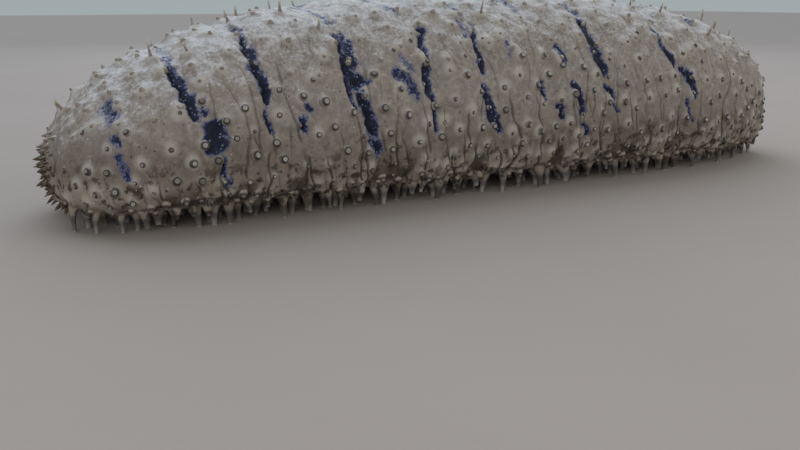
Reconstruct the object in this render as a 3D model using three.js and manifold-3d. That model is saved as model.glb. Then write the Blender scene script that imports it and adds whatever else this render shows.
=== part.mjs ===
// A sea cucumber of the sandfish kind, life size, crawling on a flat floor.
// Millimetres, +Z up, the floor at z = 0. The mouth end points to -X and the vent end to +X.
import * as THREE from "three";
import { mergeVertices } from "three/addons/utils/BufferGeometryUtils.js";
import Module from "manifold-3d";

const wasm = await Module();
wasm.setup();

// The body as a whole
const LENGTH = 230;
const CREST_HEIGHT = 51.5;
const HALF_WIDTH = 31;
const SOLE_HEIGHT = 3;
const WIDEST_SHARE = 0.42; // height of the widest line, as a share of the section

// Each end: the height of its tip, and the length over which the back, the sole and the sides
// run out from that tip to their full size
const MOUTH_END = { tip: 10, back: 102, sole: 17, side: 30, fullness: 2.3, bluntness: 2.05 };
const VENT_END = { tip: 17, back: 92, sole: 9, side: 66, fullness: 2.0, bluntness: 2.3 };

// Roundness of the section: below 1 is fuller than an ellipse
const SIDE_ROUNDNESS = 0.86;
const BACK_ROUNDNESS = 0.92;
const SOLE_ROUNDNESS = 0.5;
const SOLE_SIDE_ROUNDNESS = 0.62; // of the sides below the widest line

// Furrows across the back and flanks, as distances from the mouth end
const FURROWS = [28, 44, 66, 86, 103, 121, 140, 167, 186, 202];
const FURROW_DEPTH = 1.3;
const FURROW_HALF_WIDTH = 3.2;
const FURROW_LEAN = 5; // how far the foot of a furrow lies behind its top
const FURROW_END = 2.1; // turn from the crest, in radians, where a furrow has run out

// The cuts that part the body, and the gap at each
const CUTS = { mouth: 24, front: 87, middle: 149, vent: 207 };
const SOLE_CUT_HEIGHT = 8.5;
const GAP = 0.3;

// How finely the skin is drawn
const RINGS = 60;
const RING_POINTS = 28;
const END_CROWDING = 0.7; // 0 spaces the rings evenly, 1 crowds them at the ends
const BALL = { around: 20, down: 12 };

// Blunt feet of the flanks
const FLANK_FOOT = { wart: 1.7, tip: 0.85, height: 2, least: 0.8, most: 1.15, sides: 5 };
const FLANK_ROWS = [70, 82, 93, 102, 110]; // degrees from the crest
const FLANK_PITCH = 15.5;
const FLANK_ENDS = 8; // how far the rows stop from each end

// Slender papillae of the back
const PAPILLA = { radius: 0.8, height: 4.4, least: 0.75, most: 1.2, sides: 5 };
const PAPILLA_ROWS = [-57, -39, -22, -5, 12, 29, 46, 61]; // degrees from the crest
const PAPILLA_PITCH = 17;
const PAPILLA_ENDS = 11;
const PAPILLA_LIFT = 0.8; // how far a papilla of the back turns upright from the skin's own normal
const PAPILLA_SWAY = 0.25;

// Walking feet of the sole, each ending in a flat sucker on the floor
const FOOT = { radius: 0.95, neck: 0.6, sucker: 1.1, neckHeight: 0.9, least: 0.85, most: 1.1, sides: 5 };
const FOOT_ROWS = [-24, -17.5, -11.5, -5.5, 5.5, 11.5, 17.5, 24]; // across the sole
const FOOT_PITCH = 14;
const FOOT_SPAN = { from: 17, to: LENGTH - 8 };
const FOOT_SWAY = 0.9;
const FOOT_EDGE = 2.5; // the least distance from a foot to the edge of the body
const MIDDLE_FOOT = { distance: LENGTH / 2, across: 0 };

// The mouth: a round hollow low on the front, its axis turned down from straight ahead
const MOUTH = { distance: 4, height: 10, radius: 6.6, down: 25 };
const MOUTH_FLOOR = 2.6; // depth of the mouth disc below the centre of the hollow
const THROAT = { depth: 1.6, inner: 1, outer: 1.4, rise: 1, sides: 8 };
const TENTACLE = { root: 0.9, neck: 0.55, shield: 1, height: 4.3, sides: 5 };
const TENTACLE_BEND = { neck: 0.55, shield: 0.85 }; // shares of the height
const TENTACLE_GROWTH = { least: 0.85, most: 1.05 };
const TENTACLE_RINGS = [
  { count: 12, radius: 4.4 },
  { count: 8, radius: 2.6 },
];
const MOUTH_PAPILLA = { radius: 0.8, height: 3, least: 0.75, most: 1.2, sides: 5 };
const MOUTH_PAPILLA_RINGS = [
  { count: 18, radius: 8 },
  { count: 14, radius: 10.5 },
];
const MOUTH_PAPILLA_SWAY = 0.2; // share of the spacing in a ring
const MOUTH_PAPILLA_FORWARD = 0.9; // how far they turn towards the axis of the mouth
const BEHIND_MOUTH = 2; // how far behind the hollow their common centre lies

// The vent: a small round pit with five groups of papillae
const VENT = { height: 21, radius: 3, floor: 1.35, depth: 3.5, rise: 1, sides: 10 };
const VENT_PAPILLA = { radius: 0.75, height: 3, least: 0.75, most: 1.2, sides: 5 };
const VENT_GROUPS = 5;
const VENT_GROUP = [
  { member: -1, away: 4.7 },
  { member: 0, away: 5.7 },
  { member: 1, away: 4.7 },
];
const VENT_GROUP_STEP = 0.22; // spacing in a group, as a share of the spacing of the groups
const VENT_SPREAD = 0.6;
const BEFORE_VENT = 14; // how far inside the rear tip the papillae's common centre lies

const ROOT_DEPTH = 1.6; // how deep every foot and papilla is sunk
const CUT_MARGIN = 1.9; // the least distance from a root to a cut
const PITCH_JITTER = 0.22; // share of the pitch
const ROW_JITTER = 2.5; // degrees
const SEARCH = { reach: 40, steps: 24 }; // how the skin is found from inside the body
const SAME_POINT = 1e-4;
const FLOOR = 0;

const DEGREE = Math.PI / 180;
const UP = new THREE.Vector3(0, 1, 0); // the axis of a turned shape before it is placed

// A repeatable draw between 0 and 1
function makeDraw(seed) {
  let state = seed;
  return () => {
    state = (state * 1664525 + 1013904223) % 4294967296;
    return state / 4294967296;
  };
}
const draw = makeDraw(7);
const between = (low, high) => low + (high - low) * draw();

// The share of full size reached at a distance from a tip, along a rounded end
function swell(distance, run, fullness, bluntness) {
  const left = 1 - Math.min(Math.max(distance / run, 0), 1);
  return (1 - left ** fullness) ** (1 / bluntness);
}

// The lines of the body at a distance from the mouth end
function sectionAt(distance) {
  const front = distance < LENGTH / 2;
  const end = front ? MOUTH_END : VENT_END;
  const reach = front ? distance : LENGTH - distance;
  const grown = (run) => swell(reach, run, end.fullness, end.bluntness);
  return {
    top: end.tip + (CREST_HEIGHT - end.tip) * grown(end.back),
    bottom: end.tip - (end.tip - SOLE_HEIGHT) * grown(end.sole),
    half: HALF_WIDTH * grown(end.side),
  };
}

// How deep the furrows cut at a place on the skin
function furrowAt(distance, turn) {
  const fade = Math.max(0, 1 - (turn / FURROW_END) ** 4);
  const lean = FURROW_LEAN * (Math.abs(turn) / FURROW_END) ** 2;
  const cuts = FURROWS.map((place) => {
    const off = (distance - place - lean) / FURROW_HALF_WIDTH;
    return Math.exp(-off * off);
  });
  return FURROW_DEPTH * fade * Math.max(...cuts);
}

const signedPower = (value, power) => Math.sign(value) * Math.abs(value) ** power;

// A point of the skin: distance from the mouth end, and turn in radians from the crest,
// positive towards -Y
function skinPoint(distance, turn) {
  const { top, bottom, half } = sectionAt(distance);
  const widest = bottom + (top - bottom) * WIDEST_SHARE;
  const side = Math.sin(turn);
  const rise = Math.cos(turn);
  const height = rise > 0
    ? (top - widest) * rise ** BACK_ROUNDNESS
    : (widest - bottom) * signedPower(rise, SOLE_ROUNDNESS);
  const sideRoundness = rise > 0 ? SIDE_ROUNDNESS : SOLE_SIDE_ROUNDNESS;
  const wrapped = Math.atan2(side, rise);
  const kept = 1 - furrowAt(distance, wrapped) / HALF_WIDTH;
  return new THREE.Vector3(
    distance - LENGTH / 2,
    -half * kept * signedPower(side, sideRoundness),
    widest + height * (rise > 0 ? kept : 1),
  );
}

// The direction that the skin faces at a place
function skinNormal(distance, turn) {
  const step = 0.5;
  const turnStep = 0.03;
  const along = skinPoint(distance + step, turn).sub(skinPoint(distance - step, turn));
  const around = skinPoint(distance, turn + turnStep).sub(skinPoint(distance, turn - turnStep));
  return around.cross(along).normalize();
}

// A closed geometry as a solid that can be joined and cut
function solidOf(geometry) {
  const bare = geometry.clone();
  bare.deleteAttribute("normal");
  bare.deleteAttribute("uv");
  const merged = mergeVertices(bare, SAME_POINT);
  const corners = merged.index.array;
  const kept = [];
  for (let i = 0; i < corners.length; i += 3) {
    const [a, b, c] = corners.slice(i, i + 3);
    if (a !== b && b !== c && c !== a) kept.push(a, b, c);
  }
  return new wasm.Manifold(
    new wasm.Mesh({
      numProp: 3,
      vertProperties: merged.attributes.position.array,
      triVerts: Uint32Array.from(kept),
    }),
  );
}

// The largest closed surface of a solid
function largestOf(solid) {
  return solid.decompose().reduce((best, piece) => (piece.volume() > best.volume() ? piece : best));
}

// The whole skin as one closed solid
function makeSkin() {
  const geometry = new THREE.SphereGeometry(1, RING_POINTS, RINGS);
  const place = geometry.attributes.position;
  const uv = geometry.attributes.uv;
  for (let i = 0; i < place.count; i++) {
    const share = 1 - uv.getY(i);
    const crowded = (1 - Math.cos(Math.PI * share)) / 2;
    const distance = LENGTH * (share + END_CROWDING * (crowded - share));
    const point = skinPoint(distance, -2 * Math.PI * uv.getX(i));
    place.setXYZ(i, point.x, point.y, point.z);
  }
  return solidOf(geometry);
}

// A block between two distances from the mouth end and two heights
function slab(from, to, low, high) {
  const box = new THREE.BoxGeometry(to - from, LENGTH, high - low);
  box.translate((from + to) / 2 - LENGTH / 2, 0, (low + high) / 2);
  return solidOf(box);
}

// A turned shape from [radius, height] pairs, moved to a place and pointed along a direction
function turned(profile, sides, place, direction) {
  const outline = profile.map(([radius, height]) => new THREE.Vector2(radius, height));
  const geometry = new THREE.LatheGeometry(outline, sides);
  geometry.rotateY(2 * Math.PI * draw());
  const turn = new THREE.Quaternion().setFromUnitVectors(UP, direction);
  geometry.applyQuaternion(turn).translate(place.x, place.y, place.z);
  return solidOf(geometry);
}

// A tapering papilla, its size drawn about the named one
function papilla(size, place, direction) {
  const height = size.height * between(size.least, size.most);
  const profile = [
    [0, -ROOT_DEPTH],
    [size.radius, -ROOT_DEPTH],
    [0, height],
  ];
  return turned(profile, size.sides, place, direction);
}

// A blunt foot of the flank on its low wart
function flankFoot(place, direction) {
  const grown = between(FLANK_FOOT.least, FLANK_FOOT.most);
  const height = FLANK_FOOT.height * grown;
  const profile = [
    [0, -ROOT_DEPTH],
    [FLANK_FOOT.wart * grown, -ROOT_DEPTH],
    [FLANK_FOOT.tip * grown, height],
    [0, height],
  ];
  return turned(profile, FLANK_FOOT.sides, place, direction);
}

// A walking foot from the sole down to its flat sucker on the floor
function walkingFoot(root) {
  const profile = [
    [0, FLOOR],
    [FOOT.sucker * between(FOOT.least, FOOT.most), FLOOR],
    [FOOT.neck, FOOT.neckHeight],
    [FOOT.radius, root.z + ROOT_DEPTH],
    [0, root.z + ROOT_DEPTH],
  ];
  const outline = profile.map(([radius, height]) => new THREE.Vector2(radius, height));
  const geometry = new THREE.LatheGeometry(outline, FOOT.sides);
  geometry.rotateX(Math.PI / 2).translate(root.x, root.y, 0);
  return solidOf(geometry);
}

// True where a root is clear of every cut across the body
function clearOfCuts(distance) {
  return Object.values(CUTS).every((cut) => Math.abs(distance - cut) > CUT_MARGIN);
}

// Places in staggered rows along the body between two distances
function rowPlaces(rows, pitch, from, to, visit) {
  rows.forEach((row, index) => {
    const stagger = (index % 2) * 0.5;
    for (let distance = from + pitch * stagger; distance < to; distance += pitch) {
      const jittered = distance + pitch * between(-PITCH_JITTER, PITCH_JITTER);
      if (clearOfCuts(jittered)) visit(jittered, row);
    }
  });
}

// The height of the underside at a place on the floor plan
function undersideAt(distance, across) {
  const { half } = sectionAt(distance);
  const share = Math.min(Math.abs(across) / half, 1);
  const side = share ** (1 / SOLE_SIDE_ROUNDNESS);
  return skinPoint(distance, Math.PI - Math.asin(side)).z;
}

// All feet and papillae of the trunk, each with its root
function makeTrunkForms() {
  const forms = [];
  const add = (solid, root) => forms.push({ solid, root });
  const rowJitter = () => between(-ROW_JITTER, ROW_JITTER) * DEGREE;

  for (const flank of [1, -1]) {
    rowPlaces(FLANK_ROWS, FLANK_PITCH, FLANK_ENDS, LENGTH - FLANK_ENDS, (distance, degrees) => {
      const turn = flank * degrees * DEGREE + rowJitter();
      const root = skinPoint(distance, turn);
      if (root.z < SOLE_CUT_HEIGHT + CUT_MARGIN) return;
      add(flankFoot(root, skinNormal(distance, turn)), root);
    });
  }

  rowPlaces(PAPILLA_ROWS, PAPILLA_PITCH, PAPILLA_ENDS, LENGTH - PAPILLA_ENDS, (distance, degrees) => {
    const turn = degrees * DEGREE + rowJitter();
    const sway = () => between(-PAPILLA_SWAY, PAPILLA_SWAY);
    const lift = new THREE.Vector3(sway(), sway(), PAPILLA_LIFT);
    const direction = skinNormal(distance, turn).add(lift).normalize();
    const root = skinPoint(distance, turn);
    add(papilla(PAPILLA, root, direction), root);
  });

  const stand = (distance, across) => {
    if (Math.abs(across) > sectionAt(distance).half - FOOT_EDGE) return;
    const height = undersideAt(distance, across);
    if (height > SOLE_CUT_HEIGHT - ROOT_DEPTH - GAP) return;
    const root = new THREE.Vector3(distance - LENGTH / 2, across, height);
    add(walkingFoot(root), root);
  };
  stand(MIDDLE_FOOT.distance, MIDDLE_FOOT.across);
  rowPlaces(FOOT_ROWS, FOOT_PITCH, FOOT_SPAN.from, FOOT_SPAN.to, (distance, row) => {
    stand(distance, row + between(-FOOT_SWAY, FOOT_SWAY));
  });
  return forms;
}

// One length of the body: the skin and the forms rooted in it, cut to a block
function cutLength(skin, forms, from, to, low, high) {
  const inside = forms.filter(({ root }) => {
    const distance = root.x + LENGTH / 2;
    return distance > from && distance < to && root.z > low && root.z < high;
  });
  const joined = wasm.Manifold.union([skin, ...inside.map(({ solid }) => solid)]);
  return joined.intersect(slab(from + GAP / 2, to - GAP / 2, low, high));
}

// The mouth's own frame: its centre, its axis out of the body, and a ring of directions about it
const mouthCentre = new THREE.Vector3(MOUTH.distance - LENGTH / 2, 0, MOUTH.height);
const mouthAxis = new THREE.Vector3(-Math.cos(MOUTH.down * DEGREE), 0, -Math.sin(MOUTH.down * DEGREE));
const mouthSide = new THREE.Vector3(0, 1, 0);
const mouthUp = new THREE.Vector3().crossVectors(mouthSide, mouthAxis).normalize();

function mouthRay(angle) {
  return mouthSide.clone().multiplyScalar(Math.cos(angle)).addScaledVector(mouthUp, Math.sin(angle));
}

// A ball about the centre of the mouth's hollow
function mouthBall(radius) {
  const ball = new THREE.SphereGeometry(radius, BALL.around, BALL.down);
  ball.translate(mouthCentre.x, mouthCentre.y, mouthCentre.z);
  return solidOf(ball);
}

// The skin point nearest to a ray from inside the body, found by halving
function skinAlong(start, direction) {
  let near = 0;
  let far = SEARCH.reach;
  for (let step = 0; step < SEARCH.steps; step++) {
    const middle = (near + far) / 2;
    const point = start.clone().addScaledVector(direction, middle);
    if (isInside(point)) near = middle;
    else far = middle;
  }
  return start.clone().addScaledVector(direction, near);
}

// True where a point is within the skin
function isInside(point) {
  const distance = point.x + LENGTH / 2;
  if (distance <= 0 || distance >= LENGTH) return false;
  const { top, bottom, half } = sectionAt(distance);
  const widest = bottom + (top - bottom) * WIDEST_SHARE;
  const sideRoundness = point.z > widest ? SIDE_ROUNDNESS : SOLE_SIDE_ROUNDNESS;
  const side = (Math.abs(point.y) / half) ** (2 / sideRoundness);
  const rise = point.z > widest
    ? ((point.z - widest) / (top - widest)) ** (2 / BACK_ROUNDNESS)
    : ((widest - point.z) / (widest - bottom)) ** (2 / SOLE_ROUNDNESS);
  return side + rise < 1;
}

// The papillae that ring the mouth, pointing out and forward
function makeMouthPapillae() {
  const behind = mouthCentre.clone().addScaledVector(mouthAxis, -MOUTH.radius - BEHIND_MOUTH);
  const forms = [];
  for (const { count, radius } of MOUTH_PAPILLA_RINGS) {
    for (let i = 0; i < count; i++) {
      const sway = between(-MOUTH_PAPILLA_SWAY, MOUTH_PAPILLA_SWAY);
      const ray = mouthRay((2 * Math.PI * (i + sway)) / count);
      const aim = mouthCentre.clone().addScaledVector(ray, radius).sub(behind).normalize();
      const root = skinAlong(behind, aim);
      const direction = aim.addScaledVector(mouthAxis, MOUTH_PAPILLA_FORWARD).normalize();
      const tipHeight = root.z + direction.z * MOUTH_PAPILLA.height * MOUTH_PAPILLA.most;
      if (tipHeight < GAP || root.x > CUTS.mouth - LENGTH / 2 - CUT_MARGIN) continue;
      forms.push(papilla(MOUTH_PAPILLA, root, direction));
    }
  }
  return forms;
}

// The front of the body, hollowed for the mouth
function makeOralEnd(skin, forms) {
  const cut = cutLength(skin, forms, -LENGTH, CUTS.mouth + GAP / 2, FLOOR, LENGTH);
  const ringed = wasm.Manifold.union([cut, ...makeMouthPapillae()]);
  const block = slab(-LENGTH, CUTS.mouth - GAP / 2, FLOOR, LENGTH);
  return ringed.subtract(mouthBall(MOUTH.radius)).intersect(block);
}

// The mouth disc with its ring of short, shield-tipped tentacles
function makeTentacleCrown() {
  const reach = MOUTH.radius - GAP;
  const disc = new THREE.CylinderGeometry(2 * reach, 2 * reach, reach, BALL.around);
  const lip = mouthCentre.clone().addScaledVector(mouthAxis, -MOUTH_FLOOR);
  const turn = new THREE.Quaternion().setFromUnitVectors(UP, mouthAxis);
  disc.translate(0, -reach / 2, 0).applyQuaternion(turn).translate(lip.x, lip.y, lip.z);
  const base = mouthBall(reach).intersect(solidOf(disc));

  const throatProfile = [
    [0, -THROAT.depth],
    [THROAT.inner, -THROAT.depth],
    [THROAT.outer, THROAT.rise],
    [0, THROAT.rise],
  ];
  const throat = turned(throatProfile, THROAT.sides, lip, mouthAxis);
  const tentacles = [];
  TENTACLE_RINGS.forEach(({ count, radius }, ring) => {
    for (let i = 0; i < count; i++) {
      const ray = mouthRay((2 * Math.PI * (i + ring / 2)) / count);
      const foot = lip.clone().addScaledVector(ray, radius);
      const height = TENTACLE.height * between(TENTACLE_GROWTH.least, TENTACLE_GROWTH.most);
      const profile = [
        [0, -TENTACLE.root],
        [TENTACLE.neck, -TENTACLE.root],
        [TENTACLE.neck, height * TENTACLE_BEND.neck],
        [TENTACLE.shield, height * TENTACLE_BEND.shield],
        [0, height],
      ];
      tentacles.push(turned(profile, TENTACLE.sides, foot, mouthAxis));
    }
  });
  const crown = wasm.Manifold.union([base.subtract(throat), ...tentacles]);
  return crown.intersect(mouthBall(reach));
}

// The rear of the body, with the vent's pit and its five groups of papillae
function makeAnalEnd(skin, forms) {
  const cut = cutLength(skin, forms, CUTS.vent, 2 * LENGTH, FLOOR, LENGTH);
  const backward = new THREE.Vector3(1, 0, 0);
  const inner = new THREE.Vector3(LENGTH / 2 - BEFORE_VENT, 0, VENT.height);
  const opening = skinAlong(inner, backward);
  const pitProfile = [
    [0, -VENT.depth],
    [VENT.floor, -VENT.depth],
    [VENT.radius, VENT.rise],
    [0, VENT.rise],
  ];
  const pit = turned(pitProfile, VENT.sides, opening, backward);
  const papillae = [];
  for (let group = 0; group < VENT_GROUPS; group++) {
    for (const { member, away } of VENT_GROUP) {
      const angle = (2 * Math.PI * (group + VENT_GROUP_STEP * member)) / VENT_GROUPS + Math.PI / 2;
      const ray = new THREE.Vector3(0, Math.cos(angle), Math.sin(angle));
      const aim = backward.clone().multiplyScalar(BEFORE_VENT).addScaledVector(ray, away);
      const root = skinAlong(inner, aim.normalize());
      const direction = backward.clone().addScaledVector(ray, VENT_SPREAD).normalize();
      papillae.push(papilla(VENT_PAPILLA, root, direction));
    }
  }
  return wasm.Manifold.union([cut, ...papillae]).subtract(pit);
}

// Colour, roughness and metalness of each kind of flesh
const FLESH = {
  back: { color: 0x9a9286, roughness: 0.62, metalness: 0 },
  sole: { color: 0xb3ab9d, roughness: 0.58, metalness: 0 },
  mouth: { color: 0x6b553f, roughness: 0.5, metalness: 0 },
};

// A named node from a solid
function makeNode(name, solid, finish) {
  const { numProp, vertProperties, triVerts } = largestOf(solid).getMesh();
  const corners = [];
  for (const corner of triVerts) {
    corners.push(...vertProperties.subarray(corner * numProp, corner * numProp + 3));
  }
  const geometry = new THREE.BufferGeometry();
  geometry.setAttribute("position", new THREE.Float32BufferAttribute(corners, 3));
  geometry.computeVertexNormals();
  const mesh = new THREE.Mesh(geometry, new THREE.MeshStandardMaterial(finish));
  mesh.name = name;
  return mesh;
}

const skin = makeSkin();
const forms = makeTrunkForms();
const animal = new THREE.Group();

animal.add(makeNode("oral_end", makeOralEnd(skin, forms), FLESH.back));
animal.add(makeNode("tentacle_crown", makeTentacleCrown(), FLESH.mouth));
animal.add(makeNode("anal_end", makeAnalEnd(skin, forms), FLESH.back));

const lengths = [
  ["front", CUTS.mouth, CUTS.front],
  ["middle", CUTS.front, CUTS.middle],
  ["rear", CUTS.middle, CUTS.vent],
];
for (const [name, from, to] of lengths) {
  const back = cutLength(skin, forms, from, to, SOLE_CUT_HEIGHT + GAP / 2, LENGTH);
  const sole = cutLength(skin, forms, from, to, FLOOR, SOLE_CUT_HEIGHT - GAP / 2);
  animal.add(makeNode(`${name}_body`, back, FLESH.back));
  animal.add(makeNode(`${name}_sole`, sole, FLESH.sole));
}

export default animal;
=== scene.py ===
"""A sandfish sea cucumber, life size, crawling on its walking feet: the skin, feet, papillae and mouth."""

import itertools
import math

import bpy
import numpy as np
from bpy.props import FloatProperty, FloatVectorProperty, IntProperty, PointerProperty
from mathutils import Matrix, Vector


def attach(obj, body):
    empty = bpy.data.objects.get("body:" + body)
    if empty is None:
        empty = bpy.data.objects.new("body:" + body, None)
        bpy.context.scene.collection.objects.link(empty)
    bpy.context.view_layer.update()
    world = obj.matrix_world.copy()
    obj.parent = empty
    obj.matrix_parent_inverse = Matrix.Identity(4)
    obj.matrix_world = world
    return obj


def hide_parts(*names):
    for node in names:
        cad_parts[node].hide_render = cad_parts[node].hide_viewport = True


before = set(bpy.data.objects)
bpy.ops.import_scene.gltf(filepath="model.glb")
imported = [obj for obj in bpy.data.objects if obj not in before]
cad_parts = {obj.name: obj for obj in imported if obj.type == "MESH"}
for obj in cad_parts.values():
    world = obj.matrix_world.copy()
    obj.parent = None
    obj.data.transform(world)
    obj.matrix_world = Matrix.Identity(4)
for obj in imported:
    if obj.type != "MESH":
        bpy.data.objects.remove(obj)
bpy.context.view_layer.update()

bl_info = {
    "name": "Sandfish sea cucumber",
    "version": (1, 0, 0),
    "blender": (4, 5, 0),
    "location": "3D View > Sidebar > Sandfish",
    "description": "Builds the skin, feet, papillae and mouth of a life-size sea cucumber",
    "category": "Object",
}

MM = 0.001

# The body's two ends: the height of the tip, the length over which the back, the sole and the
# sides run out from it to their full size, and the powers that round it
MOUTH_END = {
    "tip": 10 * MM, "back": 102 * MM, "sole": 17 * MM, "side": 30 * MM, "fullness": 2.3, "bluntness": 2.05,
}
VENT_END = {
    "tip": 17 * MM, "back": 92 * MM, "sole": 9 * MM, "side": 66 * MM, "fullness": 2.0, "bluntness": 2.3,
}
# The height of the widest place, as a share of the section's, and the powers of its four quarters
WIDEST_SHARE = 0.42
SIDE_ROUNDNESS = 0.86
BACK_ROUNDNESS = 0.92
SOLE_ROUNDNESS = 0.5
SOLE_SIDE_ROUNDNESS = 0.62

# The furrows across the back and flanks, as distances from the mouth end
FURROWS = [28 * MM, 44 * MM, 66 * MM, 86 * MM, 103 * MM, 121 * MM, 140 * MM, 167 * MM, 186 * MM, 202 * MM]
FURROW_HALF_WIDTH = 3.2 * MM
FURROW_LEAN = 5 * MM
FURROW_END = 2.1  # the turn, in radians, at which a furrow has faded out
SOLE_TURN = 138  # the turn, in degrees, at which the flat sole begins

# Lumps of the skin, and the pebbles on them: their height, size and seed
LUMPS = [(0.45 * MM, 13 * MM, 1), (0.28 * MM, 4.5 * MM, 2)]
PEBBLES = [(0.14 * MM, 2.1 * MM, 3), (0.08 * MM, 1.2 * MM, 4)]
BACK_PEBBLES = 0.9  # how much higher the pebbles are on the crest, as a share

# Fine creases that run round the body: their spacing, how far they sway, over what length, their
# half width, their strength, how unbroken they are above, how much more so below, and their seed
CREASES = [
    (8.3 * MM, 4.2 * MM, 15 * MM, 0.4 * MM, 1.0, 0.3, 0.35, 81),
    (5.1 * MM, 3.4 * MM, 11 * MM, 0.34 * MM, 0.9, 0.3, 0.35, 85),
    (3.1 * MM, 2.2 * MM, 7 * MM, 0.24 * MM, 0.5, 0.3, 0.35, 89),
    (4.3 * MM, 1.6 * MM, 9 * MM, 0.36 * MM, 1.0, -1.2, 2.4, 97),
]
CREASE_WOBBLE = 0.5 * MM
CREASE_WOBBLE_SIZE = 2.6 * MM
CREASE_BREAKS = (4 * MM, 10 * MM, 10 * MM)  # lumps of the noise that breaks the creases up
CREASE_SWELLS = (5 * MM, 8 * MM, 8 * MM)  # lumps of the noise that makes them thick and thin
PLEAT_DEPTH = 0.06  # depth of the soft pleats between creases, as a share of their spacing

# Broad upright folds, strongest along the lower edge of the flanks
COLUMN_HEIGHT = 0.75 * MM
COLUMN_SIZE = (4.2 * MM, 30 * MM, 15 * MM)
COLUMN_SEED = 7
VALLEY = 0.75  # how strongly painted shade darkens the valleys between the folds, as a share of a full crease
VALLEY_TURNS = (92, 116)  # the turns, in degrees, over which that sets in
LOW_TURNS = (80, 110)  # the turns, in degrees, over which the folds and creases grow stronger

# How finely the skin is drawn, along and around, and its girth measured
STATIONS = 1280
AROUND = 264
GIRTH_STEPS = 7201

# Where the feet and papillae may root, as turns from the crest in degrees
BACK_TURNS = (0, 66)
FLANK_TURNS = (50, 140)
WALKING_TURNS = (139, 180)
# The turns over which the flank feet set in above, and over which they crowd and shrink below
THINNED_TURNS = (48, 74)
CROWDED_TURNS = (66, 122)
BARE_TIP = 3 * MM  # none root nearer to an end of the body
# How far from the mouth's axis they begin
MOUTH_ROOM = {"flank": 12 * MM, "back": 13 * MM, "walking": 11 * MM}
# The warts at their roots: radius, and height as a share of the wart height
WARTS = {"flank": (2.0 * MM, 1.3), "back": (1.8 * MM, 2), "walking": (1.3 * MM, 0.8)}
WART_REACH = 2.6  # how far from its middle a wart is drawn, as a share of its radius

# The mouth's hollow, the puckered lip and the ragged fold round it, and the vent's pit with its
# lip and radial folds. A lip or fold is its distance from the rim, its width and its height.
MOUTH = {"distance": 4 * MM, "height": 10 * MM, "radius": 6.6 * MM, "down": math.radians(25)}
MOUTH_FLOOR = 2.6 * MM
MOUTH_LIP = (1.6 * MM, 1.8 * MM, 0.5 * MM)
MOUTH_PLEATS = 26
MOUTH_PLEAT_HEIGHT = 0.45 * MM
MOUTH_FOLD = (5.2 * MM, 0.8 * MM, 0.45 * MM)
MOUTH_SHADE = 2.2 * MM  # how far the mouth's brown fades out over the lip
VENT = {"height": 21 * MM, "radius": 3 * MM, "depth": 3.5 * MM}
VENT_LIP = (0.6 * MM, 1 * MM, 0.5 * MM)
VENT_FOLDS = (0, 2 * MM, 0.25 * MM)
VENT_FOLD_COUNT = 15
TIP_LENGTH = 20 * MM  # the length at each end of the body that they may shape

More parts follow.
